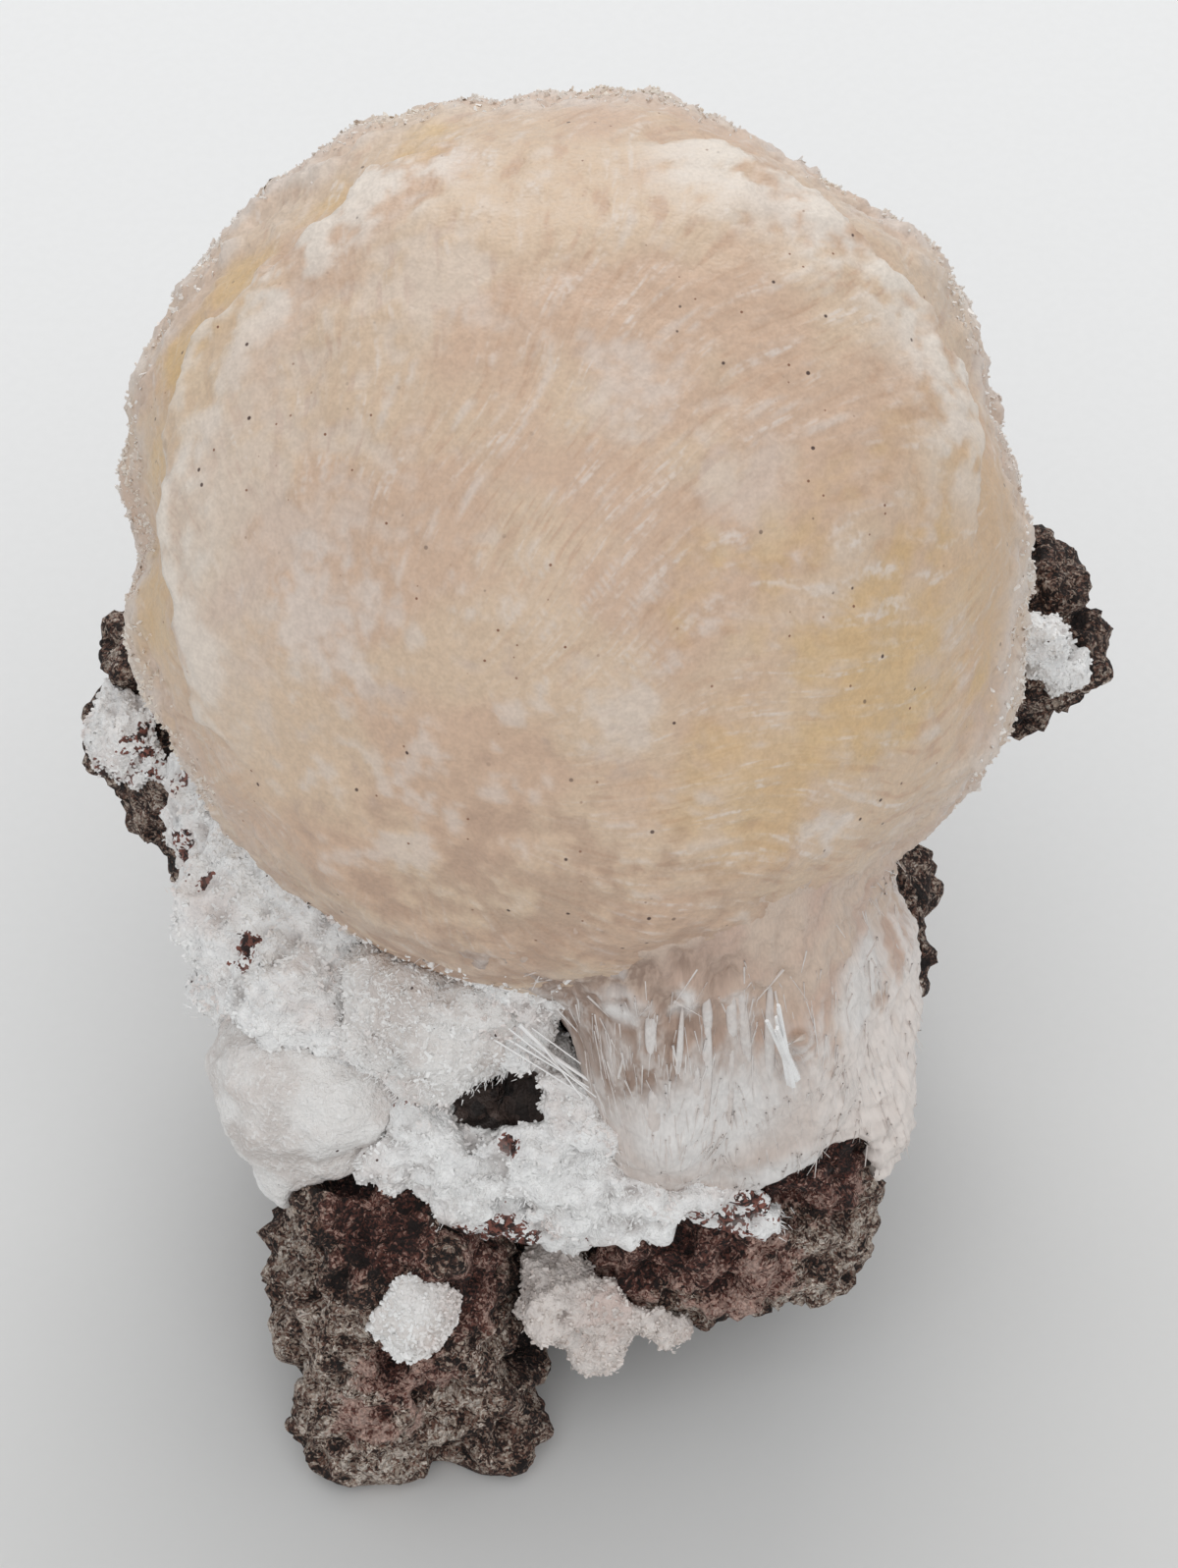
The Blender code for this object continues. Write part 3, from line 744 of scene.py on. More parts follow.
def make_rim_crystals(ball, material):
    rng = np.random.default_rng(11)
    spots, facing = scatter(ball.data, RIM_TRIES, rng, on_the_rim)
    spots, facing = spots[:RIM_CRYSTALS], facing[:RIM_CRYSTALS]
    crystals = blocks(
        "rim_crystals", spots, facing, material, rng, (0.06, 0.16), 3.0, 0.6, taper=0.55, flat=0.6
    )
    return settle(crystals, "thomsonite_pink")


# The skins of the rock and of the smaller growths

ROCK_VOXEL = 0.295
CRUST_VOXEL = 0.21
SPHERULE_VOXEL = 0.18
GROWN_VOXEL = 0.23


def even_skin(mesh, name, voxel, material):
    """An even skin over a closed mesh, ready to be worked. The mesh itself is used up."""
    source = new_object(name, mesh)
    mesh.materials.clear()
    remesh = source.modifiers.new("even skin", "REMESH")
    remesh.mode = "VOXEL"
    remesh.voxel_size = voxel * MM * 1.0
    graph = bpy.context.evaluated_depsgraph_get()
    made = bpy.data.meshes.new_from_object(source.evaluated_get(graph))
    bpy.data.objects.remove(source)
    bpy.data.meshes.remove(mesh)
    made.name = name
    made.materials.clear()
    made.materials.append(material)
    made.shade_smooth()
    relax(made, 3)
    return new_object(name, made)


def skin(node, name, voxel, material, lumps=()):
    bm = bmesh.new()
    bm.from_mesh(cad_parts[node].data)
    add_lumps(bm, lumps)
    mesh = bpy.data.meshes.new(name)
    bm.to_mesh(mesh)
    bm.free()
    return even_skin(mesh, name, voxel, material)


def add_lumps(bm, places):
    for place, radii in places:
        lump = bmesh.ops.create_icosphere(bm, subdivisions=3, radius=1.0)["verts"]
        for vertex in lump:
            vertex.co = design(*place) + Vector([c * r * MM for c, r in zip(vertex.co, radii)])


def relax(mesh, rounds, share=1.0):
    """Draws each vertex towards its neighbours, fully where share is 1 and not at all where it is 0."""
    points = coordinates(mesh)
    edges = read(mesh.edges, "vertices", 2, np.int64)
    share = np.broadcast_to(share, len(points))
    moving = share > 0.01
    share = np.where(moving, share, 0.0)
    edges = edges[moving[edges[:, 0]] | moving[edges[:, 1]]]
    links = np.maximum(np.bincount(edges.ravel(), minlength=len(points)), 1)[:, None]
    weight = (0.6 * share)[:, None]
    for _ in range(rounds):
        total = np.stack(
            [
                np.bincount(edges[:, 0], points[edges[:, 1], axis], len(points))
                + np.bincount(edges[:, 1], points[edges[:, 0], axis], len(points))
                for axis in range(3)
            ],
            axis=1,
        )
        points = points + (total / links - points) * weight
    set_coordinates(mesh, points)


def near_places(points, places):
    """The most that any of the places, each (centre, radius in mm), reaches each point."""
    most = np.zeros(len(points))
    for centre, radius in places:
        distance = np.linalg.norm(points - np.array(design(*centre)), axis=1)
        most = np.maximum(most, smooth(radius * 1.3 * MM, radius * 0.6 * MM, distance))
    return most


def design(x, y, z):
    """A place in the specimen's frame, from millimetres counted from below the ball's centre."""
    return Vector((x, y, z)) * MM + SHIFT


RUST_ON_ROCK = [
    ((-8.0, -20.5, 9.0), 2.6), ((-9.8, -21.0, 6.0), 2.2), ((-6.0, -19.0, 13.5), 3.0),
    ((2.0, -18.0, 13.5), 3.2), ((7.5, -17.5, 12.0), 3.0),
]
MAROON_ON_ROCK = [
    ((11.2, -16.0, 16.9), 3.0), ((5.5, -17.6, 15.3), 2.6), ((8.4, -17.0, 16.2), 2.2),
    ((-9.3, -18.2, 16.0), 2.8), ((-6.6, -19.0, 13.0), 2.0), ((0.0, -18.4, 14.4), 2.0),
]
PALE_ON_ROCK = [
    ((-14.5, -17.0, 9.0), 4.0), ((-12.2, -20.5, 8.5), 4.5), ((-9.0, -20.5, 4.0), 4.5),
    ((-6.0, -20.0, 7.0), 3.0), ((12.0, -15.0, 13.0), 3.8), ((-14.0, -15.0, 12.0), 3.2),
    ((-13.5, -18.0, 7.0), 3.0), ((10.0, -17.0, 11.5), 4.6), ((13.5, -12.0, 12.0), 4.5),
    ((4.5, -18.0, 9.5), 2.6), ((0.0, 16.0, 12.0), 8.0), ((13.0, 8.0, 14.0), 5.0),
]
# The crack between the two lobes of the foot, and the hollow beside the pocket.
CRACK = [((-7.6 + 0.35 * i, -20.6 + 0.14 * i, 0.4 + 1.1 * i), 0.75) for i in range(8)]
HOLLOW = [((-2.8, -17.4, 5.8), 1.5), ((3.4, -18.6, 12.6), 1.2), ((8.0, -17.4, 8.6), 1.0)]
# Pits in the rock: cell size and depth in mm, and the share of the cells without one.
VESICLE_SIZES = [(3.4, 0.95, 0.50), (1.7, 0.55, 0.45), (0.9, 0.26, 0.40)]


def make_rock(material):
    rock = skin("basalt_matrix", "rock", ROCK_VOXEL, material)
    mesh = rock.data
    points, outward = coordinates(mesh), normals(mesh)
    base = smooth(0.4 * MM, 1.6 * MM, points[:, 2])
    # Painted shade in the pits, the crack, the hollows and the maroon places.
    hollow = np.zeros(len(points))
    rise = 0.75 * MM * waves(points, 3.2 * MM, seed=1, octaves=4, rough=0.6)
    for number, (size, depth, share) in enumerate(VESICLE_SIZES):
        distance, own = cells(points, size * MM, seed=20 + number)
        pit = smooth(0.42, 0.16, distance) * (own > share)
        rise -= depth * MM * pit
        hollow = np.maximum(hollow, pit * min(1.0, depth * 2.2))
    clods, _ = cells(points, 1.5 * MM, seed=29)
    grain, _ = cells(points, 0.62 * MM, seed=30)
    rise += 0.85 * MM * (0.50 - clods) + 0.36 * MM * (0.55 - grain)
    rise += 0.16 * MM
    split = near_places(points, CRACK)
    deep = near_places(points, HOLLOW)
    rise -= (1.3 * split + 1.4 * deep) * MM
    hollow = np.maximum(hollow, np.maximum(split, deep))
    maroon = near_places(points, MAROON_ON_ROCK)
    rise -= 0.45 * maroon * MM
    hollow = np.maximum(hollow, 0.8 * maroon)
    points += outward * (rise * base)[:, None]
    points[:, 2] = np.maximum(points[:, 2], 0.0)
    set_coordinates(mesh, points)
    rust = np.maximum(near_places(points, RUST_ON_ROCK), maroon)
    paint(mesh, hollow=hollow, rust=rust, pale=near_places(points, PALE_ON_ROCK))
    return settle(rock, "basalt", "basalt_matrix")


# The cavity between the middle dome and the fan, pushed in and painted near black as shade.
CAVITY = [((-4.4, -15.6, 22.6), 1.5), ((-2.4, -15.4, 22.0), 1.8), ((-0.2, -15.6, 21.6), 1.5)]
RUST_ON_CRUST = [
    ((-14.9, -10.6, 26.6), 1.3), ((-12.6, -12.0, 24.6), 0.9), ((-15.4, -7.0, 28.0), 0.9),
    ((-17.4, -2.0, 28.4), 1.8), ((-3.4, -18.5, 22.6), 0.9), ((-9.0, -16.0, 23.4), 1.4),
    ((5.6, -18.2, 15.4), 2.6), ((8.0, -18.0, 17.2), 1.7), ((1.0, -19.2, 15.0), 1.3),
    ((-17.6, -8.0, 29.0), 1.0), ((-18.8, -5.0, 27.6), 1.2), ((-6.0, -20.0, 15.6), 1.3),
    ((-13.2, -12.6, 22.6), 1.3), ((-4.0, -19.0, 15.6), 2.4), ((-21.5, 1.0, 26.5), 1.8),
    ((-20.2, 0.6, 28.2), 1.6), ((-19.9, -1.0, 26.2), 1.5), ((23.2, 8.0, 25.0), 1.6),
    ((-9.0, -20.0, 16.8), 1.6),
]
# Lumps of the crust between the dome and the fan, and on the right knob: centre and radii in mm.
BRIDGES = [
    ((-1.5, -15.8, 29.2), (2.6, 1.6, 1.3)), ((0.4, -17.2, 23.0), (2.3, 1.5, 1.5)),
    ((-2.2, -17.6, 21.4), (2.4, 1.5, 1.2)), ((-2.7, -15.2, 26.5), (1.9, 1.5, 1.7)),
    ((-0.7, -16.8, 24.3), (1.2, 1.0, 1.0)),
]
KNOB_LUMPS = [((22.3, 6.6, 28.8), (1.1, 1.1, 1.3)), ((21.6, 5.6, 30.4), (1.0, 1.0, 1.1))]


def grown_on_ball(node, name, material, grow, film, reach, lumps):
    """A solid and the ball under one skin, with a fillet about film wide where they meet, of which
    the part within reach of the solid is kept. The solid grows a little first. Returns the piece
    and how far each point lies from the solid. All lengths are in mm."""
    solid = bmesh.new()
    solid.from_mesh(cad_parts[node].data)
    bmesh.ops.remove_doubles(solid, verts=solid.verts, dist=0.001 * MM)
    solid.normal_update()
    places = [vertex.co + vertex.normal * grow * MM for vertex in solid.verts]
    add_lumps(solid, lumps)
    solid_tree = BVHTree.FromBMesh(solid)
    solid.verts.ensure_lookup_table()
    for vertex, place in zip(solid.verts, places):
        vertex.co = place
    bm = bmesh.new()
    bmesh.ops.create_icosphere(bm, subdivisions=6, radius=1.0)
    for vertex in bm.verts:
        direction = vertex.co.normalized()
        vertex.co = centre + direction * (ball_form(direction)[0] - 0.12 * MM)
    ball_tree = BVHTree.FromBMesh(bm)
    part = bpy.data.meshes.new("part")
    solid.to_mesh(part)
    solid.free()
    bm.from_mesh(part)
    both = bpy.data.meshes.new("both")
    bm.to_mesh(both)
    bm.free()
    bpy.data.meshes.remove(part)
    whole = even_skin(both, name, GROWN_VOXEL, material)
    mesh = whole.data
    points = coordinates(mesh)
    low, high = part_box(node)
    margin = (reach + 1.0) * MM
    near = np.all((points > np.array(low) - margin) & (points < np.array(high) + margin), axis=1)
    from_solid = np.full(len(points), 100.0)
    from_ball = np.full(len(points), 100.0)
    for index in np.flatnonzero(near):
        from_solid[index] = solid_tree.find_nearest(Vector(points[index]))[3] / MM
        from_ball[index] = ball_tree.find_nearest(Vector(points[index]))[3] / MM
    seam = np.exp(-((from_solid / film) ** 2) - (from_ball / film) ** 2)
    relax(mesh, 260, np.clip(seam * 1.8, 0.0, 1.0))
    points = coordinates(mesh)
    faces = read(mesh.loops, "vertex_index", 1, np.int64).reshape(-1, 4)
    kept = from_solid < reach
    faces = faces[kept[faces].all(axis=1)]
    bpy.data.objects.remove(whole)
    bpy.data.meshes.remove(mesh)
    order = np.cumsum(kept) - 1
    piece = mesh_object(name, points[kept], order[faces].tolist(), material)
    return piece, from_solid[kept]


def make_crust(node, name, material, seed, swell=0.05, lumps=(), on_ball=False):
    if on_ball:
        crust, away = grown_on_ball(node, name, material, 0.15, 2.0, 3.6, lumps)
    else:
        crust = skin(node, name, CRUST_VOXEL, material, lumps)
        away = np.zeros(len(crust.data.vertices))
    mesh = crust.data
    points, outward = coordinates(mesh), normals(mesh)
    rise = (0.05 + swell) * MM + 0.60 * MM * waves(points, 2.1 * MM, seed=seed, octaves=3, rough=0.6)
    knobs, _ = cells(points, 1.1 * MM, seed=seed + 1)
    grains, _ = cells(points, 0.48 * MM, seed=seed + 2)
    holes, own = cells(points, 1.7 * MM, seed=seed + 3)
    rise += 0.50 * MM * (0.45 - knobs) + 0.26 * MM * (0.5 - grains)
    pit = smooth(0.34, 0.14, holes) * (own > 0.62)
    rise -= 0.55 * MM * pit
    # Painted shade in the pits and where the crust sinks.
    hollow = np.maximum(pit, smooth(0.0, -0.40 * MM, rise))
    # The cavity is pushed in and painted near black as shade.
    char = near_places(points, CAVITY)
    film = smooth(0.9, 2.6, away)
    rust = near_places(points, RUST_ON_CRUST)
    rise -= 0.30 * MM * rust
    rise = rise * (1.0 - 0.8 * film) - 0.8 * MM * char - 0.35 * MM * smooth(2.0, 3.5, away)
    points += outward * rise[:, None]
    set_coordinates(mesh, points)
    paint(mesh, hollow=hollow * (1.0 - film), char=char, body=film, rust=rust)
    return settle(crust, "zeolite_white", node)


RUST_ON_SPHERULES = [((-11.0, -16.8, 15.2), 2.2)]


def make_spherule(node, name, material, seed, rough):
    spherule = skin(node, name, SPHERULE_VOXEL, material)
    mesh = spherule.data
    points, outward = coordinates(mesh), normals(mesh)
    rise = 0.20 * MM + (0.25 + rough) * MM * waves(points, 2.2 * MM, seed=seed, octaves=3)
    knobs, _ = cells(points, 0.7 * MM, seed=seed + 1)
    grains, _ = cells(points, 0.36 * MM, seed=seed + 2)
    rise += rough * MM * (1.3 * (0.45 - knobs) + 0.6 * (0.5 - grains))
    gap = np.linalg.norm(points - np.array(centre), axis=1) - BALL_RADIUS
    rise += 0.4 * MM * smooth(2.0 * MM, 0.6 * MM, gap)
    low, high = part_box(node)
    away = points - np.array(low + high) / 2
    edge = (points[:, 0] - low[0]) / (high[0] - low[0]) + (points[:, 2] - low[2]) / (high[2] - low[2])
    lip = smooth(0.62, 0.40, edge) * smooth(0.3, 0.8, -unit(away)[:, 1] + 0.4)
    points += outward * rise[:, None]
    set_coordinates(mesh, points)
    paint(mesh, lip=lip, rust=near_places(points, RUST_ON_SPHERULES))
    return settle(spherule, "zeolite_white", node)


# The place that the fan's fibres spread from.
FAN_ORIGIN = (4.0, -8.0, 46.0)


def from_fan_origin(points):
    """Directions and distances of points from where the fan's fibres start."""
    away = points - np.array(design(*FAN_ORIGIN))
    return unit(away), np.linalg.norm(away, axis=1)


def silk_place(points):
    """Where the fan's noise is looked up: fine across the fibres and long along them."""
    away, length = from_fan_origin(points)
    return np.concatenate([away[:, :2] * 38.0, length[:, None] / (8.0 * MM)], axis=1)


def fan_folds(points):
    """Broad and fine folds that run down the fan."""
    away, length = from_fan_origin(points)
    place = np.stack([away[:, 0] * 9.0, away[:, 1] * 9.0, length / (18.0 * MM)], axis=1)
    return waves(place, 0.62, seed=3, octaves=2), waves(place, 0.20, seed=5, octaves=2)


# The fan's full upper part, under the ball: centre and radii in mm.
SHOULDER = [((4.6, -15.7, 33.8), (7.4, 3.9, 5.0))]
# Milky places on the fan: centre and radius in mm.
MILK = [
    ((5.5, -19.5, 25.0), 3.6), ((12.6, -15.0, 30.0), 2.6), ((1.4, -19.8, 35.4), 0.8),
    ((1.5, -19.8, 34.0), 0.9), ((1.6, -19.6, 32.5), 1.0), ((4.5, -19.8, 34.2), 0.6),
    ((4.6, -19.6, 33.0), 0.8), ((7.0, -19.4, 34.6), 0.6), ((7.1, -19.4, 33.2), 0.8),
    ((9.5, -17.5, 18.6), 2.6),
]
# The bright needles in front of the fan: where they stand and where they end.
NEEDLE_FOOT = (9.5, -19.0, 28.2)
NEEDLE_END = (8.4, -21.9, 36.0)


def make_fan(material):
    """The fan, with a fillet that runs up on to the ball, so that its fibres flow out of the ball."""
    fan, away = grown_on_ball("fibre_fan", "fan_of_fibres", material, 0.35, 3.0, 6.0, SHOULDER)
    mesh = fan.data
    points, outward = coordinates(mesh), normals(mesh)
    lobes, folds = fan_folds(points)
    height = (points[:, 2] - SHIFT.z) / MM
    across = (points[:, 0] - SHIFT.x) / MM
    top = smooth(30.0, 33.0, height) * smooth(38.5, 36.5, height)
    ragged = np.maximum(smooth(20.0, 16.5, height), 0.5 * smooth(9.0, 12.5, across))
    rise = 0.09 * folds + (0.12 + 0.28 * top) * lobes + 0.05
    rise += 0.40 * ragged * waves(points, 0.9 * MM, seed=8, octaves=3)
    rise -= 0.45 * smooth(3.6, 5.8, away)
    points += outward * (rise * MM)[:, None]
    foot, end = np.array(design(*NEEDLE_FOOT)), np.array(design(*NEEDLE_END))
    axis = foot + (end - foot) * ((points[:, 2] - foot[2]) / (end[2] - foot[2]))[:, None]
    aside = np.abs(points[:, 0] - axis[:, 0]) / MM
    ahead = smooth(-19.2, -19.6, (points[:, 1] - SHIFT.y) / MM)
    core = ahead * smooth(1.8, 1.4, aside) * smooth(30.0, 31.0, height) * smooth(35.8, 35.3, height)
    points += (axis - points) * (0.88 * core)[:, None]
    set_coordinates(mesh, points)
    milk = np.maximum(near_places(points, MILK), core)
    fade = (height - 32.2 + 0.35 * (across - 4.0)) / 6.5
    # Painted shade under the ball, on the fan's left part, kept as tan.
    left = smooth(9.5, 1.5, across) * smooth(23.5, 30.0, height) * smooth(38.2, 35.5, height)
    paint(
        mesh,
        body=smooth(-0.5, 0.5, fade - 0.5 * lobes - 0.2 * folds) * (1.0 - core),
        tan=np.clip(left * (1.0 - 0.9 * lobes) - core, 0.0, 1.0),
        pale=0.85 * smooth(8.0, 13.0, across) * smooth(34.0, 30.0, height),
        milk=milk,
        silk=silk_place(points),
    )
    return settle(fan, "fibre_pale", "fibre_fan")


def below_the_ball(spots, facing):
    height = (spots[:, 2] - SHIFT.z) / MM
    return smooth(0.2, 0.6, -facing[:, 1]) * smooth(36.0, 31.0, height)


def settle_fibres(fibres, milk):
    """Gives loose fibres the fan's own look, with an even share of milk."""
    mesh = fibres.data
    paint(mesh, milk=np.full(len(mesh.vertices), milk), silk=silk_place(coordinates(mesh)))
    return settle(fibres, "fibre_pale")


def make_fan_needles(fan, material):
    """Fine fibres lying on the fan, splayed down and outwards from the ball."""
    rng = np.random.default_rng(21)
    spots, facing = scatter(fan.data, 2600, rng, below_the_ball)
    down, _ = from_fan_origin(spots)
    down = unit(down - facing * np.sum(down * facing, axis=1)[:, None])
    directions = lean(down + facing * rng.uniform(-0.02, 0.06, (len(spots), 1)), 0.04, rng)
    lengths = rng.uniform(0.7, 2.6, len(spots)) * MM
    widths = rng.uniform(0.025, 0.07, len(spots)) * MM
    form = {"sides": 4, "taper": 0.3, "flat": 0.6, "sunk": 0.5}
    needles = prisms("fan_needles", spots, directions, lengths, widths, material, rng, **form)
    return settle_fibres(needles, 0.5)


def strands(name, curves, widths, depth, material):
    """Tapering rounded strands, each along a curve from a start, past a control point, to an end."""
    rings, sides = 12, 8
    share = np.linspace(0.0, 1.0, rings)[None, :, None]
    a, b, c = (np.array(curves)[:, i : i + 1] for i in range(3))
    path = a * (1 - share) ** 2 + 2 * b * share * (1 - share) + c * share**2
    tangent = np.gradient(path, axis=1)
    tangent /= np.linalg.norm(tangent, axis=2)[:, :, None]
    across = np.cross(tangent, (0.0, 1.0, 0.0))
    across /= np.linalg.norm(across, axis=2)[:, :, None]
    out = np.cross(across, tangent)
    girth = np.array(widths)[:, None, None] * (np.sin(math.pi * share) ** 0.6 + 0.12)
    turn = np.arange(sides) / sides * 2 * math.pi
    ring = (
        path[:, :, None, :]
        + across[:, :, None, :] * np.cos(turn)[None, None, :, None] * girth[:, :, None]
        + out[:, :, None, :] * np.sin(turn)[None, None, :, None] * girth[:, :, None] * depth
    )
    faces = []
    for strand in range(len(curves)):
        first = strand * rings * sides
        for level in range(rings - 1):
            at = first + level * sides
            for i in range(sides):
                j = (i + 1) % sides
                faces.append((at + i, at + j, at + sides + j, at + sides + i))
        faces.append(tuple(range(first, first + sides)))
        faces.append(tuple(range(first + (rings - 1) * sides, first + rings * sides)))
    return mesh_object(name, ring.reshape(-1, 3), faces, material)


def surface_tree(obj):
    mesh = obj.data
    polygons = [tuple(face.vertices) for face in mesh.polygons]
    return BVHTree.FromPolygons([vertex.co for vertex in mesh.vertices], polygons)


# A place well in front of the specimen, from which the fan's surface is looked for.
FAR_IN_FRONT = -40.0


def make_fingers(fan, material):
    """Thicker fibres that stand out a little where the fan leaves the ball."""
    rng = np.random.default_rng(33)
    tree = surface_tree(fan)
    curves, widths = [], []
    for _ in range(11):
        x = rng.normal(4.6, 2.4)
        high = rng.uniform(30.0, 35.0)
        low = high - rng.uniform(3.0, 8.0)
        slant = rng.normal(0.0, 0.2) + (x - 5.0) * 0.06
        width = rng.uniform(0.12, 0.34)
        curve = []
        for along, sunk in ((0.0, 0.75 * width), (0.5, -0.1), (1.0, 0.75 * width)):
            front = design(x + slant * along, FAR_IN_FRONT, high + (low - high) * along)
            place = tree.ray_cast(front, Vector((0.0, 1.0, 0.0)))[0]
            if place is not None:
                curve.append(place + Vector((0.0, sunk * MM, 0.0)))
        if len(curve) == 3:
            curves.append(curve)
            widths.append(width * MM)
    return settle_fibres(strands("fingers", curves, widths, 0.45, material), 0.4)


# The bright needles in front of the fan, and the blades across the dark cavity: how many, where they
# stand and end, each with its spread, and how wide they are.
BUNDLES = [
    (6, NEEDLE_FOOT, (0.22, 0.10, 0.4), NEEDLE_END, (0.28, 0.15, 0.7), (0.15, 0.24)),
    (8, (-2.6, -16.6, 28.6), (0.7, 0.5, 0.8), (1.4, -17.8, 25.4), (0.7, 0.4, 0.7), (0.05, 0.11)),
]


def make_free_needles(material):
    rng = np.random.default_rng(5)
    roots, tips, widths = [], [], []
    for count, foot, foot_spread, end, end_spread, width in BUNDLES:
        for _ in range(count):
            roots.append(design(*rng.normal(foot, foot_spread)))
            tips.append(design(*rng.normal(end, end_spread)))
            widths.append(rng.uniform(*width) * MM)
    roots, reach = np.array(roots), np.array(tips) - np.array(roots)
    lengths = np.linalg.norm(reach, axis=1)
    form = {"sides": 6, "taper": 0.5, "flat": 0.7}
    needles = prisms(
        "free_needles", roots, unit(reach), lengths, np.array(widths), material, rng, **form
    )
    return settle(needles, "fibre_pale")


# The usual width of a fibre in the tufts, in mm, and the place that the tufts lean away from.
TUFT_WIDTH = 0.035
TUFT_SOURCE = (-1.0, -12.0, 27.0)


def make_tufts(name, body, material, count, length, rng, wanted, sprays):
    """Sprays of short white fibres that fan out of a crust, away from under the ball."""
    spots, facing = scatter(body.data, count, rng, wanted)
    each = np.repeat(np.arange(len(spots)), sprays)
    away = unit(spots - np.array(design(*TUFT_SOURCE)))
    axis = lean(facing * 0.45 + away * 0.8, 0.35, rng)[each]
    directions = lean(axis, 0.38, rng)
    inward = np.sum(directions * facing[each], axis=1)
    directions = unit(directions - facing[each] * np.minimum(inward - 0.10, 0.0)[:, None])
    lengths = rng.uniform(0.45, 1.0, len(each)) * length * MM
    widths = rng.uniform(0.7, 1.4, len(each)) * TUFT_WIDTH * MM
    roots = spots[each] + rng.normal(size=(len(each), 3)) * 0.20 * MM
    form = {"sides": 3, "taper": 0.3, "sunk": 0.25}
    tufts = prisms(name, roots, directions, lengths, widths, material, rng, **form)
    return settle(tufts, "zeolite_white")


def make_grains(name, body, material, count, rng, wanted):
    """Blocky little crystals sunk in a crust."""
    spots, facing = scatter(body.data, count, rng, wanted)
    grains = blocks(
        name, spots, facing, material, rng, (0.06, 0.15), 3.2, 0.7, taper=0.7, flat=0.8
    )
    return settle(grains, "zeolite_white")


# The stage

# How far the floor goes from the middle, in metres.
FLOOR_REACH = 1.6


def make_floor(material):
    corners = [(x * FLOOR_REACH, y * FLOOR_REACH, 0.0) for x, y in ((-1, -1), (1, -1), (1, 1), (-1, 1))]
    floor = mesh_object("floor", corners, [(0, 1, 2, 3)], material)


def aimed(name, data, place, direction):
    obj = new_object(name, data)
    obj.location = place
    obj.rotation_euler = direction.to_track_quat("-Z", "Y").to_euler()
    return obj


# Lamps: name, place, what it is aimed at, size, power and colour.
LAMPS = [
    ("window", (0.02, 0.42, 0.36), (0.0, 0.05, 0.0), 0.40, 1.05, (1.0, 0.995, 0.985)),
    ("overhead", (0.0, -0.44, 0.50), (0.0, 0.0, 0.02), 0.75, 1.35, (1.0, 1.0, 1.0)),
]


def make_lights():
    for name, place, aim, size, power, colour in LAMPS:
        light = bpy.data.lights.new(name, "AREA")
        light.shape = "DISK"
        light.size = size
        light.energy = power
        light.color = colour
        aimed(name, light, place, Vector(aim) - Vector(place))
    world = bpy.data.worlds.new("studio")
    world.use_nodes = True
    background = world.node_tree.nodes["Background"]
    background.inputs["Color"].default_value = (0.97, 0.985, 1.0, 1.0)
    background.inputs["Strength"].default_value = 0.60
    bpy.context.scene.world = world
    bpy.context.scene.view_settings.view_transform = "Standard"


CAMERA_PLACE = (0.4, -161.0, 205.2)


def make_camera():
    """Looks at the ball's worn face, as the photo does."""
    camera = bpy.data.cameras.new("camera")
    camera.sensor_width = 36.0
    camera.lens = 117.3
    camera.clip_start = 0.01
    bpy.context.scene.camera = aimed("camera", camera, design(*CAMERA_PLACE), -FACE_AXIS)


centre = find_ball_centre()
SHIFT = centre - DESIGN_CENTRE
make_camera()
make_lights()
make_floor(floor_material())

ball = make_ball(centre, ball_material())
make_rim_crystals(ball, crystal_material())
make_rock(rock_material())

chalk = chalk_material("white_crust_surface")
tuft = tuft_material("white_tufts")
crust = make_crust("white_crust", "crust_and_skirt", chalk, 41, 0.10, BRIDGES, on_ball=True)
pocket_chalk = chalk_material("pocket_surface", warmth=0.95, tint=0.85)
pocket_tuft = tuft_material("pocket_tufts", tint=0.85)
pocket = make_crust("pocket_crust", "pocket_crystals", pocket_chalk, 44)
left_knob = make_crust("left_knob_crust", "left_knob_patch", chalk, 47)
right_knob = make_crust("right_knob_crust", "right_knob_patch", chalk, 50, lumps=KNOB_LUMPS)

spherule = spherule_material("spherule_surface", warmth=0.42, frost=0.55)
make_spherule("left_spherule", "left_half_ball", spherule, 61, 0.10)
dome = spherule_material("dome_surface", warmth=0.15, frost=0.85)
middle = make_spherule("middle_spherule", "middle_dome", dome, 64, 0.26)
lower = make_spherule("lower_spherule", "lower_disc", spherule, 67, 0.16)

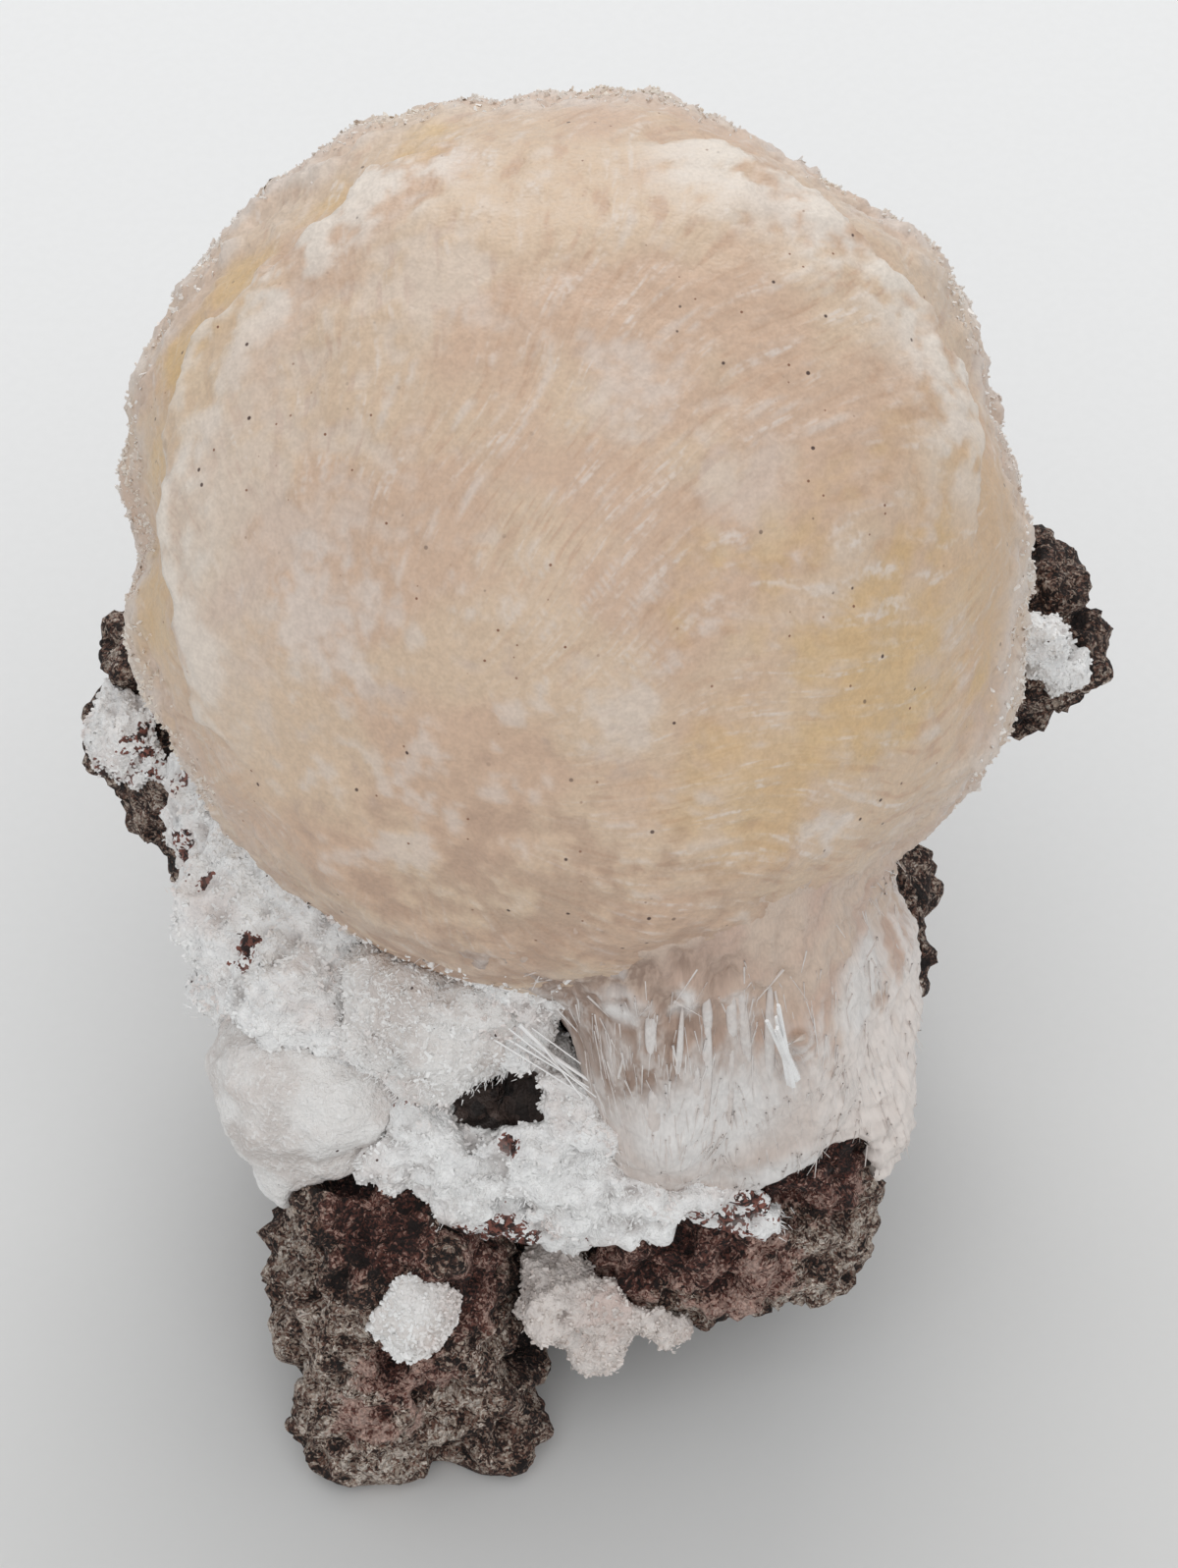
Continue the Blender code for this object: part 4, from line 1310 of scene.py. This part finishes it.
fan_material = fibre_material()
fan = make_fan(fan_material)
make_fan_needles(fan, fan_material)
make_fingers(fan, fan_material)
make_free_needles(needle_material())


def outside_cavity(spots, facing):
    dark = near_places(spots, CAVITY) + near_places(spots, RUST_ON_CRUST)
    return 1.0 - np.minimum(dark * 6.0, 1.0)


def skirt_only(spots, facing):
    low = smooth(design(0, 0, 23.0)[2], design(0, 0, 20.5)[2], spots[:, 2])
    return low * smooth(-0.2, 0.3, -facing[:, 1]) * outside_cavity(spots, facing)


def crust_only(spots, facing):
    high = smooth(design(0, 0, 21.0)[2], design(0, 0, 23.0)[2], spots[:, 2])
    return high * smooth(-0.6, 0.1, facing[:, 2] - facing[:, 1]) * outside_cavity(spots, facing)


def beside_the_crust(spots, facing):
    """Where the white crust has grown a little way up the ball."""
    close = np.array([crust_tree.find_nearest(Vector(spot))[3] for spot in spots])
    return smooth(2.0 * MM, 0.5 * MM, close) * 0.8


crust_tree = surface_tree(crust)

# name, what it grows on, material, how many, fibre length, seed, where, fibres in a spray
for name, body, material, count, length, seed, wanted, sprays in (
    ("skirt_fibres", crust, tuft, 700, 0.50, 71, skirt_only, 12),
    ("crust_fibres", crust, tuft, 700, 0.30, 72, crust_only, 5),
    ("dome_fibres", middle, tuft, 420, 0.35, 73, None, 8),
    ("pocket_fibres", pocket, pocket_tuft, 80, 0.30, 74, None, 6),
):
    make_tufts(name, body, material, count, length, np.random.default_rng(seed), wanted, sprays)

# name, what it grows on, material, how many, seed, where
for name, body, material, count, seed, wanted in (
    ("crust_grains", crust, tuft, 9000, 81, outside_cavity),
    ("ball_foot_grains", ball, tuft, 9000, 82, beside_the_crust),
    ("dome_grains", middle, tuft, 1200, 83, outside_cavity),
    ("disc_grains", lower, tuft, 700, 84, None),
    ("pocket_grains", pocket, pocket_tuft, 1500, 85, None),
    ("left_knob_grains", left_knob, tuft, 700, 86, None),
    ("right_knob_grains", right_knob, tuft, 500, 87, None),
):
    make_grains(name, body, material, count, np.random.default_rng(seed), wanted)
